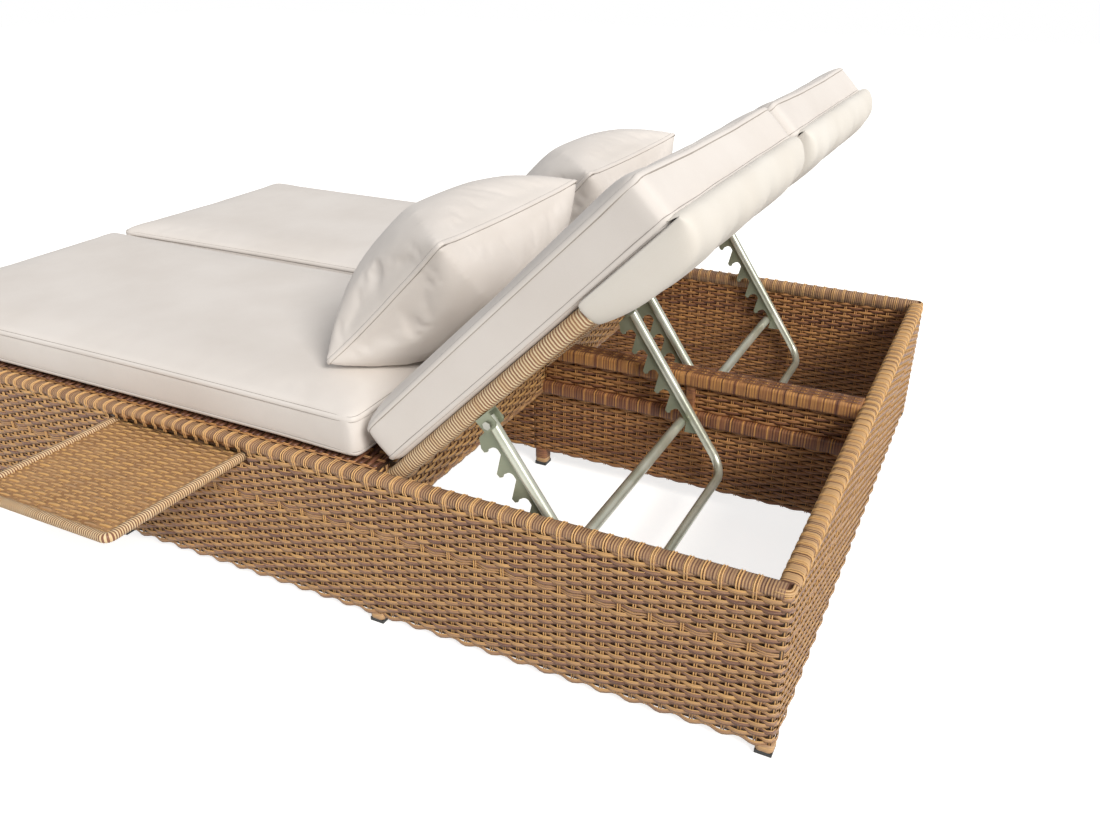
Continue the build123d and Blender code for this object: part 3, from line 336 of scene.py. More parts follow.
class Finish(Enum):
    """The lounger's finishes.

    The walls are tan strands with mauve streaks, the rims finer stripes of them, the inner faces and the
    partition a redder brown, and the backrests' rails cream and brown stripes. Cushions, pillows and sleeves
    are three close ivories. The tubes have a satin shine, the plates on them a flatter sage green.
    """

    # Each wicker's edge colour is painted highlight along its strands' upper edges.
    WALL = ResinWicker(
        "extruded_resin_wicker",
        ((0.0, "#6A4638"), (0.28, "#916C5A"), (0.55, "#AA825E"), (0.8, "#BC946A"), (1.0, "#D8A868")),
        edge="#E6B878", edge_share=0.92,
    )
    RIM = ResinWicker(
        "wrapped_resin_wicker",
        ((0.0, "#5A3A2C"), (0.3, "#8E6A54"), (0.6, "#BC9872"), (0.85, "#D6AC78"), (1.0, "#E6BA7C")),
        edge="#DDAE74", edge_share=0.5, streak_share=0.3,
    )
    LINING = ResinWicker(
        "inner_resin_wicker",
        ((0.0, "#5A382A"), (0.3, "#84563E"), (0.6, "#A0704A"), (0.85, "#BE8A54"), (1.0, "#D29C5A")),
        edge="#C8925A",
    )
    PALE = ResinWicker(
        "fine_striped_resin_wicker",
        ((0.0, "#6A4232"), (0.3, "#96684C"), (0.6, "#B88C62"), (0.85, "#DFBE8C"), (1.0, "#F4E0B8")),
        edge="#F4E0B8", edge_share=0.4, streak_share=0.15,
    )
    # Painted shade: the dark brown of the blocks behind the weave stands for the shade seen between the
    # strands.
    BACKING = PowderCoat("weave_backing", "#5E3C28", "#4A2E1E", roughness=0.8)
    TAN = PowderCoat("tan_tray_backing", "#AE845A", "#9A7048", roughness=0.8)
    # Each canvas's third colour is the painted shade in its stitched grooves.
    CUSHION = WovenCanvas("ivory_polyester_canvas", "#E6E0DA", "#DED7D0", "#968D84")
    PILLOW = WovenCanvas("ivory_pillow_canvas", "#E5DFD9", "#DCD5CE", "#968D84")
    SLEEVE = WovenCanvas("ivory_sleeve_canvas", "#E8E4DC", "#E0DAD0", "#A89E92")
    TUBE = PowderCoat(
        "sage_metallic_powder_coat", "#D6D9CB", "#C2C6B4", metallic=0.55, roughness=0.32, peel_strength=0.01,
        coat=0.2,
    )
    PLATE = PowderCoat(
        "sage_powder_coat", "#9AA08A", "#868C76", metallic=0.3, roughness=0.36, peel_strength=0.05
    )
    BROWN = PowderCoat("brown_powder_coat", "#4C3A2C", "#3E2F24", roughness=0.45)
    ZINC = PowderCoat("zinc_plated_steel", "#B8B8B0", "#A2A29A", metallic=0.95, roughness=0.32)
    CAP = PowderCoat("moulded_polypropylene", "#2E3030", "#232525", roughness=0.5, peel_mm=1.2)


@cache
def material_of(finish: Finish) -> bpy.types.Material:
    """The finish's material, made when it is first asked for."""
    return finish.value.build()


@dataclass
class StrandBatch:
    """Collects strands into one mesh, with the attributes that the wicker finish reads."""

    parts: list[tuple[np.ndarray, ...]] = field(default_factory=list)
    caps: list[list[int]] = field(default_factory=list)
    cap_tones: list[float] = field(default_factory=list)
    count: int = 0

    def grid(
        self, points: np.ndarray, along: np.ndarray, across: np.ndarray, tones: np.ndarray,
        ring: bool = False,
    ) -> None:
        """Adds a tube of quads.

        Args:
            points: (stations, section, 3) in millimetres; the section goes round and closes on itself.
            along: one value per station, or (stations, section).
            across: one value per section point.
            tones: one value per stretch between stations.
            ring: True where the last station joins the first; otherwise both ends are capped.
        """
        stations, section = points.shape[:2]
        first = self.count
        rows = np.arange(stations if ring else stations - 1)
        here, there = rows[:, None] * section, ((rows + 1) % stations)[:, None] * section
        near, far = np.arange(section)[None, :], ((np.arange(section) + 1) % section)[None, :]
        quads = np.stack([here + near, here + far, there + far, there + near], axis=-1)
        quads = quads.reshape(-1, 4) + first
        lengths = np.broadcast_to(along.reshape(stations, -1), (stations, section)).ravel()
        self.parts.append(
            (points.reshape(-1, 3), quads, lengths, np.tile(across, stations), np.repeat(tones, section))
        )
        if not ring:
            last = first + (stations - 1) * section
            self.caps += [list(range(first + section - 1, first - 1, -1)), list(range(last, last + section))]
            self.cap_tones += [float(tones[0]), float(tones[-1])]
        self.count += stations * section

    def ribbon(
        self, path: np.ndarray, outward: Any, width: Any, thick: float, tone: float, ring: bool = False,
        offset: float = 0.0,
    ) -> None:
        """Adds one flat strand.

        Args:
            path: (n, 3) middle line in millimetres.
            outward: (n, 3) or (3,) direction that the strand's face looks in.
            width: one width, or one per station.
            thick: thickness in millimetres.
            tone: the strand's place among the finish's colours.
            ring: True for a closed strand.
            offset: added to the along values, so that streaks differ.
        """
        outward = np.broadcast_to(outward, path.shape)
        tangent = np.roll(path, -1, 0) - np.roll(path, 1, 0) if ring else np.gradient(path, axis=0)
        tangent = tangent / np.linalg.norm(tangent, axis=1, keepdims=True)
        side = np.cross(tangent, outward)
        side = side / np.linalg.norm(side, axis=1, keepdims=True)
        face = np.cross(side, tangent)
        side = side * np.where(side[:, 2:3] < -1e-6, -1.0, 1.0)
        reach = side * (np.broadcast_to(width, (len(path),)) / 2)[:, None]
        right_handed = float(np.dot(np.cross(side[0], face[0]), tangent[0])) > 0
        lift = face * thick / 2 * (1 if right_handed else -1)
        points = np.stack([path + reach, path + lift, path - reach, path - lift], axis=1)
        steps = np.linalg.norm(np.diff(path, axis=0), axis=1)
        along = np.concatenate([[0.0], np.cumsum(steps)]) + offset
        stretches = len(path) - (0 if ring else 1)
        self.grid(points, along, np.array([1.0, 0.0, -1.0, 0.0]), np.full(stretches, tone), ring)

    def mesh(self, name: str) -> bpy.types.Mesh:
        """Makes the mesh in metres, smooth, with its attributes."""
        points, quads, along, across, tones = (np.concatenate(part) for part in zip(*self.parts))
        mesh = bpy.data.meshes.new(name)
        mesh.from_pydata((points * MM).tolist(), [], quads.tolist() + self.caps)
        tones = np.append(tones, self.cap_tones)
        layers = ((ALONG, along, "POINT"), (ACROSS, across, "POINT"), (TONE, tones, "FACE"))
        for label, values, domain in layers:
            mesh.attributes.new(label, "FLOAT", domain).data.foreach_set("value", values.astype(np.float32))
        mesh.polygons.foreach_set("use_smooth", np.ones(len(mesh.polygons), bool))
        mesh.validate()
        mesh.update()
        return mesh


def make_piece(
    name: str, shape: Union[bpy.types.Mesh, StrandBatch], finish: Finish, body: str = "base",
    nodes: Sequence[str] = (),
) -> bpy.types.Object:
    """Puts a shape in the scene as a piece that rides on a body.

    Args:
        name: the piece's name.
        shape: its mesh, in metres in the lounger's frame, or its strands.
        finish: its finish.
        body: the CAD body that it rides on.
        nodes: the CAD nodes that it stands for.

    Returns:
        The new object.
    """
    mesh = shape.mesh(name) if isinstance(shape, StrandBatch) else shape
    piece = bpy.data.objects.new(name, mesh)
    bpy.context.scene.collection.objects.link(piece)
    mesh.materials.clear()
    mesh.materials.append(material_of(finish))
    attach(piece, body)
    if nodes:
        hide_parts(*nodes)
    LOG.info("%s rides on %s: %d faces", name, body, len(mesh.polygons))
    return piece


def make_pair(
    stem: str, mesh: bpy.types.Mesh, finish: Finish, body: str, node: str = "",
) -> None:
    """Makes a right piece and its mirror image on the left.

    Args:
        stem: the pieces' name without its side.
        mesh: the right piece's mesh.
        finish: their finish.
        body: "base", or the name of the moving body without its side.
        node: the CAD node that each stands for, without its side.
    """
    for side in Side:
        shape = mesh
        if side is Side.LEFT:
            shape = mesh.copy()
            shape.name = f"{stem}_left"
            shape.transform(Matrix.Diagonal((-1.0, 1.0, 1.0, 1.0)))
            shape.flip_normals()
        ridden = body if body == "base" else f"{body}_{side.word}"
        nodes = (f"{node}_{side.word}",) if node else ()
        make_piece(f"{stem}_{side.word}", shape, finish, ridden, nodes)


def blocks(name: str, spans: Sequence[tuple[Sequence[float], Sequence[float]]]) -> bpy.types.Mesh:
    """Makes closed blocks as one mesh.

    Args:
        name: the mesh's name.
        spans: two opposite corners of each block, in millimetres.

    Returns:
        The mesh, in metres.
    """
    points, faces = [], []
    for low, high in spans:
        a, b = np.minimum(low, high) * MM, np.maximum(low, high) * MM
        faces += [[len(points) + i for i in face] for face in BLOCK_FACES]
        plan = ((a[0], a[1]), (b[0], a[1]), (b[0], b[1]), (a[0], b[1]))
        points += [(x, y, z) for z in (a[2], b[2]) for x, y in plan]
    mesh = bpy.data.meshes.new(name)
    mesh.from_pydata(points, [], faces)
    return mesh


def lofted(name: str, rings: Sequence[np.ndarray]) -> bpy.types.Mesh:
    """Joins closed rings of points, in millimetres, into a mesh in metres that is capped at both ends."""
    count, points = len(rings[0]), np.concatenate(rings)
    last = len(points) - count
    faces = [list(range(count))[::-1], list(range(last, len(points)))]
    for start in range(0, last, count):
        for i in range(count):
            j = (i + 1) % count
            faces.append([start + i, start + j, start + count + j, start + count + i])
    mesh = bpy.data.meshes.new(name)
    mesh.from_pydata((points * MM).tolist(), [], faces)
    return mesh


def rounded_rectangle(half_a: float, half_b: float, radius: float, steps: int = 3) -> np.ndarray:
    """Points round a rectangle with rounded corners, anticlockwise, as (n, 2)."""
    points = []
    for quarter, (sign_a, sign_b) in enumerate(((1, 1), (-1, 1), (-1, -1), (1, -1))):
        for step in range(steps):
            angle = math.radians(90 * (quarter + step / (steps - 1)))
            centre = (sign_a * (half_a - radius), sign_b * (half_b - radius))
            points.append((centre[0] + radius * math.cos(angle), centre[1] + radius * math.sin(angle)))
    return np.array(points)


def outward_of(section: np.ndarray) -> np.ndarray:
    """The outward direction at each point of an anticlockwise section, as (n, 2)."""
    tangent = np.roll(section, -1, 0) - np.roll(section, 1, 0)
    normal = np.stack([tangent[:, 1], -tangent[:, 0]], axis=1)
    return normal / np.linalg.norm(normal, axis=1, keepdims=True)


@dataclass
class Wrapping:
    """A rail wrapped in fine strands, side by side, each a ridge with a groove beside it.

    Attributes:
        section: (n, 2) outline of the wrapped rail in millimetres, anticlockwise about the rail's run.
        pitch: width of one strand.
        relief: height of the ridge over the groove.
        tone: the colour place of a strand, by its number.
    """

    section: np.ndarray
    pitch: float
    relief: float
    tone: Callable[[int], float]
    streak_shift: float = 37.0

    def straight(
        self, batch: StrandBatch, start: Sequence[float], end: Sequence[float], a: Sequence[float],
        b: Sequence[float] = UP,
    ) -> None:
        """Wraps a straight rail.

        Args:
            batch: where the strands go.
            start: the rail's start in millimetres.
            end: its end.
            a: direction of the section's first coordinate.
            b: direction of its second, so that a, b and the run are right-handed.
        """
        start, end, a, b = (np.array(v, float) for v in (start, end, a, b))
        wraps = max(2, round(float(np.linalg.norm(end - start)) / self.pitch))
        count = 2 * wraps + 1
        places = start + np.linspace(0.0, 1.0, count)[:, None] * (end - start)
        lift = np.where(np.arange(count) % 2 == 1, self.relief, 0.0)
        self.follow(batch, places, np.broadcast_to(np.stack([a, b]), (count, 2, 3)), lift, wraps)

    def follow(
        self, batch: StrandBatch, places: np.ndarray, frames: np.ndarray, lift: np.ndarray, wraps: int,
        ring: bool = False,
    ) -> None:
        """Wraps a rail along a path.

        Args:
            batch: where the strands go.
            places: (n, 3) path in millimetres, with two stations to a strand.
            frames: (n, 2, 3) the section's two directions at each.
            lift: how far the section is let out at each.
            wraps: number of strands.
            ring: True for a closed path.
        """
        shape = self.section[None] + lift[:, None, None] * outward_of(self.section)[None]
        a, b = frames[:, None, 0], frames[:, None, 1]
        points = places[:, None, :] + shape[..., :1] * a + shape[..., 1:] * b
        gaps = np.linalg.norm(np.roll(self.section, -1, 0) - self.section, axis=1)
        girth = np.concatenate([[0.0], np.cumsum(gaps)[:-1]])
        along = girth[None, :] + (np.arange(len(places)) // 2 * self.streak_shift)[:, None]
        tones = np.repeat([self.tone(i) for i in range(wraps)], 2)
        batch.grid(points, along, np.zeros(len(self.section)), tones, ring)


@dataclass
class WovenPanel:
    """A flat stretch of plain weave: rows of flat strands over and under pairs of thin stakes.

    Attributes:
        corner: one corner of the panel's middle plane, in millimetres.
        run: direction of the rows.
        rise: direction from row to row.
        length: size along the rows.
        height: size across the rows.
        bay: distance from one pair of stakes to the next.
        row: distance from one row to the next.
        strand: width of a strand.
        wave: how far a strand moves over and under.
        drift: how far it moves up and down.
        fine: stations for each bay.
        tone: range of the rows' places among the finish's colours.
        stakes: each stake's distance from the pair's middle, and its tone.
        offsets: range of the streaks' shifts along the strands.
    """

    corner: Sequence[float]
    run: Sequence[float]
    rise: Sequence[float]
    length: float
    height: float
    bay: float = 26.0
    row: float = 8.6
    strand: float = 8.8
    thick: float = 1.3
    wave: float = 2.3
    drift: float = 0.7
    fine: int = 3
    tone: tuple[float, float] = (0.25, 0.8)
    stakes: tuple[tuple[float, float], ...] = ((-1.9, 0.95), (1.9, 0.7))
    stake_size: tuple[float, float] = (2.6, 2.4)
    offsets: tuple[float, float] = (0.0, 5000.0)

    def weave(self, batch: StrandBatch, rng: np.random.Generator) -> None:
        """Adds the rows and stakes to a batch, with tones and streaks drawn from rng."""
        corner, run, rise = (np.array(v, float) for v in (self.corner, self.run, self.rise))
        out = np.cross(run, rise)
        bays = max(2, round(self.length / self.bay))
        rows = max(1, round(self.height / self.row))
        pitch = self.height / rows
        places = np.linspace(0.0, bays, bays * self.fine + 1)
        for k in range(rows):
            swing, drift = np.cos(math.pi * (places + k)), self.drift * np.sin(math.pi * (places + k))
            path = corner + np.outer(places * (self.length / bays), run)
            path = path + np.outer((k + 0.5) * pitch + drift, rise) + np.outer(self.wave * swing, out)
            width = self.strand * (0.9 + 0.1 * swing)
            tone, offset = rng.uniform(*self.tone), rng.uniform(*self.offsets)
            batch.ribbon(path, out, width, self.thick, tone, offset=offset)
        for i in range(bays + 1):
            for shift, tone in self.stakes:
                foot = corner + (i * self.length / bays + shift) * run
                path = foot + np.outer(np.linspace(0.0, self.height, 3), rise)
                batch.ribbon(path, out, *self.stake_size, tone, offset=rng.uniform(*self.offsets))


@dataclass
class WallWeave:
    """The four walls' woven skin, with its rims, inner lining and a dark backing of painted shade behind the
    strands.

    Attributes:
        rng: draws tones, streaks and wobbles.
        corner: radius of the base's upright corners.
        first_row: height of the first row's middle over the lower edge.
        stitch_row: the row that is split in two thin strands, where the two halves of the weave meet.
        slot_y: span of a tray's slot along the side walls.
        slot_z: its span in height.
        section: the wrapped rim's outline, as distances in from the outer face and over the rim's top.
        stand: how far the loops stand over the first points of that outline.
        loop_drops: how far the even and the odd loops come down the outer face.
        reliefs: ridge heights of the side and the end rims' strands.
        stripes: tones of the even and the odd strands on the side rims.
        corner_strands: distance in, height over the rim and overlap of each strand round a corner.
        stake_size: width and thickness of a stake; loop_size and corner_size give the same for those strands.
    """

    rng: np.random.Generator
    half_width: float = 670.0
    half_length: float = 1032.0
    corner: float = 15.0
    low: float = 20.0
    rim_z: float = 314.0
    wall: float = 30.0
    bay: float = 25.893
    row: float = 8.6
    first_row: float = 4.2
    row_room: float = 4.0
    stitch_row: int = 20
    stitch_half: float = 2.1
    stitch_wobble: float = 0.5
    strand: tuple[float, float] = (9.7, 4.6)
    thick: float = 1.3
    depth: float = 2.5
    wave: float = 2.6
    drift: float = 0.8
    scallop: float = 2.4
    stakes: tuple[tuple[float, float], ...] = ((-1.9, 0.98), (1.9, 0.72))
    loops: tuple[tuple[float, float], ...] = ((-2.2, 1.0), (2.2, 0.88))
    stake_depth: float = 2.2
    stake_size: tuple[float, float] = (2.7, 2.6)
    loop_size: tuple[float, float] = (2.6, 2.4)
    loop_drops: tuple[float, float] = (1.0, 9.0)
    tones: tuple[float, float] = (0.2, 0.8)
    offsets: tuple[float, float] = (0.0, 9000.0)
    slot_y: tuple[float, float] = (-313.0, 29.0)
    slot_z: tuple[float, float] = (271.0, 289.0)
    rows_top: float = 304.0
    wrap: float = 2.36
    reliefs: tuple[float, float] = (0.75, 0.7)
    stripes: tuple[float, float] = (0.2, 0.62)
    near_side: float = 40.0
    lining_start: float = 60.0
    partition_half: float = 25.0
    lining_inset: float = 1.5
    lining_low: float = 23.0
    lining_height: float = 265.0
    backing_outer: float = 6.2
    backing_inner: float = 4.5
    corner_strands: tuple[tuple[float, float, float], ...] = (
        (1.4, -8.0, 16.0), (2.2, -4.6, 15.0), (5.6, -2.2, 12.0),
    )
    corner_size: tuple[float, float] = (4.6, 2.2)
    corner_tone: float = 0.82
    section: tuple[tuple[float, float], ...] = (
        (1.4, -14.0), (0.2, -9.0), (2.3, -3.0), (8.0, -0.6), (22.0, -0.6),
        (27.7, -3.0), (30.0, -9.0), (30.0, -27.0), (25.0, -27.0), (6.0, -14.0),
    )
    stand: tuple[float, ...] = (1.7, 1.7, 1.7, 1.7, 1.7, 1.1, 0.2, 0.2)

    def perimeter(self, place: np.ndarray, outward: np.ndarray) -> tuple[np.ndarray, np.ndarray]:
        """Points round the base.

        Args:
            place: distances along the outline in millimetres, from the right wall's foot end.
            outward: distance from the outer face at each, positive outwards.

        Returns:
            (n, 3) points with z at 0, and (n, 3) outward directions.
        """
        x, y = self.half_width - self.corner, self.half_length - self.corner
        arc = math.pi * self.corner / 2
        edges = np.concatenate([[0.0], np.cumsum((2 * y, arc, 2 * x, arc) * 2)])
        place = np.mod(place, edges[-1])
        points, normals = np.zeros((len(place), 3)), np.zeros((len(place), 3))
        starts = ((x, -y), (x, y), (x, y), (-x, y), (-x, y), (-x, -y), (-x, -y), (x, -y))
        for i, start in enumerate(starts):
            inside = (place >= edges[i]) & (place < edges[i + 1])
            step = place[inside] - edges[i]
            angle = np.radians(90 * (i // 2) + (90 * step / arc if i % 2 else 0 * step))
            normal = np.stack([np.cos(angle), np.sin(angle), 0 * angle], axis=1)
            ahead = np.stack([-np.sin(angle), np.cos(angle), 0 * angle], axis=1)
            reach = (self.corner + outward[inside])[:, None] * normal
            points[inside] = np.array([*start, 0.0]) + (0 if i % 2 else step[:, None] * ahead) + reach
            normals[inside] = normal
        return points, normals

    @property
    def girth(self) -> float:
        """Length of the outline."""
        return 4 * (self.half_length + self.half_width) - (8 - 2 * math.pi) * self.corner

    @property
    def bays(self) -> int:
        """Number of bays round the outline, which is even, so that the rows close."""
        bays = round(self.girth / self.bay)
        return bays + bays % 2

    def rows(self) -> None:
        """Weaves the outer face: closed rows round all four walls, cut where a tray goes through."""
        bays, girth, rng = self.bays, self.girth, self.rng
        places = np.arange(bays * 3) / 3
        upper, lower = StrandBatch(), StrandBatch()
        for k in range(round((self.rows_top - self.low - self.row_room) / self.row)):
            phase = k + (1 if k > self.stitch_row else 0)
            swing, drift = np.cos(math.pi * (places + phase)), np.sin(math.pi * (places + phase))
            level = self.low + self.first_row + k * self.row
            height = level + self.drift * drift - (self.scallop * (1 + swing) / 2 if k == 0 else 0)
            batch, split = lower if k < self.stitch_row else upper, k == self.stitch_row
            for shift in (-self.stitch_half, self.stitch_half) if split else (0.0,):
                wobble = rng.normal(0, self.stitch_wobble, len(places)) if split else 0
                path, normal = self.perimeter(places * girth / bays, -self.depth + self.wave * swing)
                path[:, 2] = height + shift + wobble
                width = self.strand[split] * (0.91 + 0.09 * swing)
                tone, offset = rng.uniform(*self.tones), rng.uniform(*self.offsets)
                if not self.slot_z[0] - 3 < level < self.slot_z[1] + 3:
                    batch.ribbon(path, normal, width, self.thick, tone, ring=True, offset=offset)
                    continue
                cut = (path[:, 1] > self.slot_y[0]) & (path[:, 1] < self.slot_y[1])
                cut &= np.abs(path[:, 0]) > self.half_width - self.wall
                cut_end = np.flatnonzero(np.diff(cut.astype(int)) == -1)[0] + 1
                turned = np.roll(np.arange(len(places)), -cut_end)
                for run in np.split(turned, np.flatnonzero(np.diff(cut[turned].astype(int))) + 1):
                    if not cut[run[0]] and len(run) > 2:
                        batch.ribbon(path[run], normal[run], width[run], self.thick, tone, offset=offset)
        for i in range(bays):
            for shift, tone in self.stakes:
                place = np.array([i * girth / bays + shift])
                spot, normal = self.perimeter(place, np.array([-self.stake_depth]))
                spans = [(self.low + 3, self.rows_top + 2)]
                on_side = abs(spot[0, 0]) > self.half_width - self.wall
                if on_side and self.slot_y[0] < spot[0, 1] < self.slot_y[1]:
                    spans = [(self.low + 3, self.slot_z[0]), (self.slot_z[1], self.rows_top + 2)]
                for span in spans:
                    path = np.repeat(spot, 4, axis=0)
                    path[:, 2] = np.linspace(*span, 4)
                    lower.ribbon(path, normal, *self.stake_size, tone, offset=rng.uniform(*self.offsets))
        nodes = ("side_weave_right", "side_weave_left", "head_weave", "foot_weave")
        make_piece("wall_weave_upper", upper, Finish.WALL, nodes=nodes)
        make_piece("wall_weave_lower", lower, Finish.WALL, nodes=nodes)

    def rims(self) -> None:
        """Wraps the top rails, and loops the stakes over them at each bay."""
        section = np.array(self.section) + (0.0, self.rim_z)
        fine, flat = StrandBatch(), StrandBatch()
        jitter = self.rng.uniform(-0.12, 0.12, 4000)
        x, y = self.half_width, self.half_length
        end_y, end_x = y - 14.0, x - self.wall + 4.0
        ridge, low_ridge = self.reliefs
        striped = Wrapping(section[::-1], self.wrap, ridge, lambda i: self.stripes[i % 2] + jitter[i])
        banded = Wrapping(
            section[::-1], self.wrap, low_ridge,
            lambda i: (0.16 if i % 10 in (0, 2) else 0.74) + jitter[i] / 2,
        )
        for s in (1, -1):
            striped.straight(fine, (s * x, -s * end_y, 0), (s * x, s * end_y, 0), (-s, 0, 0))
            banded.straight(flat, (s * end_x, s * y, 0), (-s * end_x, s * y, 0), (0, -s, 0))
        normals = outward_of(section[::-1])[::-1][: len(self.stand)]
        over = section[: len(self.stand)] + normals * np.array(self.stand)[:, None]
        ahead = np.append(normals[:1], normals, axis=0)
        for i in range(self.bays):
            for shift, tone in self.loops:
                spot, normal = self.perimeter(np.array([i * self.girth / self.bays + shift]), np.zeros(1))
                far_x, far_y = abs(spot[0, 0]), abs(spot[0, 1])
                on_side, on_end = far_x > x - self.near_side, far_y > y - self.near_side
                if (on_side and far_y > end_y - 3) or (on_end and far_x > end_x - 3):
                    continue
                route = np.vstack([over[:1] - (0, self.loop_drops[i % 2]), over])
                path = spot + np.outer(route[:, 0], -normal[0]) + np.outer(route[:, 1], UP)
                face = np.outer(ahead[:, 0], -normal[0]) + np.outer(ahead[:, 1], UP)
                batch = fine if on_side else flat
                offset = float(self.rng.uniform(*self.offsets))
                batch.ribbon(path, face, *self.loop_size, tone, offset=offset)
        self.corners(fine)
        make_piece("side_rims", fine, Finish.RIM)
        make_piece("end_rims", flat, Finish.RIM)

    def corners(self, batch: StrandBatch) -> None:
        """Bends the top strands round each corner, beside the hole where the rims meet."""
        arc, start = math.pi * self.corner / 2, 0.0
        sides = (2 * (self.half_length - self.corner), 2 * (self.half_width - self.corner))
        for i in range(4):
            start += sides[i % 2]
            for inward, height, reach in self.corner_strands:
                places = np.linspace(start - reach, start + arc + reach, 12)
                path, normal = self.perimeter(places, np.full(len(places), -inward))
                path[:, 2] = self.rim_z + height
                face = normal + (np.array(UP) if height > -6 else 0)
                face = face / np.linalg.norm(face, axis=1, keepdims=True)
                batch.ribbon(path, face, *self.corner_size, self.corner_tone, offset=i * 97.0)
            start += arc

    def lining(self) -> None:
        """Weaves the inner faces, from under the seat's head end round the two compartments."""
        batch = StrandBatch()
        inset = self.wall - self.lining_inset
        x, y = self.half_width - inset, self.half_length - inset
        low, height = self.lining_low, self.lining_height
        for s in (1, -1):
            near = y if s > 0 else self.lining_start
            side = WovenPanel((s * x, near, low), (0, -s, 0), UP, y - self.lining_start, height)
            side.weave(batch, self.rng)
            left = -x if s < 0 else self.partition_half
            head = WovenPanel((left, y, low), (1, 0, 0), UP, x - self.partition_half, height)
            head.weave(batch, self.rng)
        make_piece("wall_lining", batch, Finish.LINING)

    def backing(self) -> None:
        """Fills the walls with dark blocks of painted shade behind the strands, with the tray slots open."""
        out, inn, low, high = self.backing_outer, self.backing_inner, self.low + 3, self.rim_z - 4
        far_x, far_y = self.half_width - out, self.half_length - out
        near_x, near_y = self.half_width - self.wall + inn, self.half_length - self.wall + inn
        (slot_foot, slot_head), (slot_low, slot_high) = self.slot_y, self.slot_z
        spans = []
        for s in (1, -1):
            for y0, y1, z0, z1 in (
                (-far_y, slot_foot, low, high), (slot_head, far_y, low, high),
                (slot_foot, slot_head, low, slot_low), (slot_foot, slot_head, slot_high, high),
            ):
                spans.append(((s * near_x, y0, z0), (s * far_x, y1, z1)))
            spans.append(((-near_x, s * near_y, low), (near_x, s * far_y, high)))
        make_piece("wall_backing", blocks("wall_backing", spans), Finish.BACKING)

    def build(self) -> None:
        """Makes every piece of the walls."""
        self.rows()
        self.rims()
        self.lining()
        self.backing()


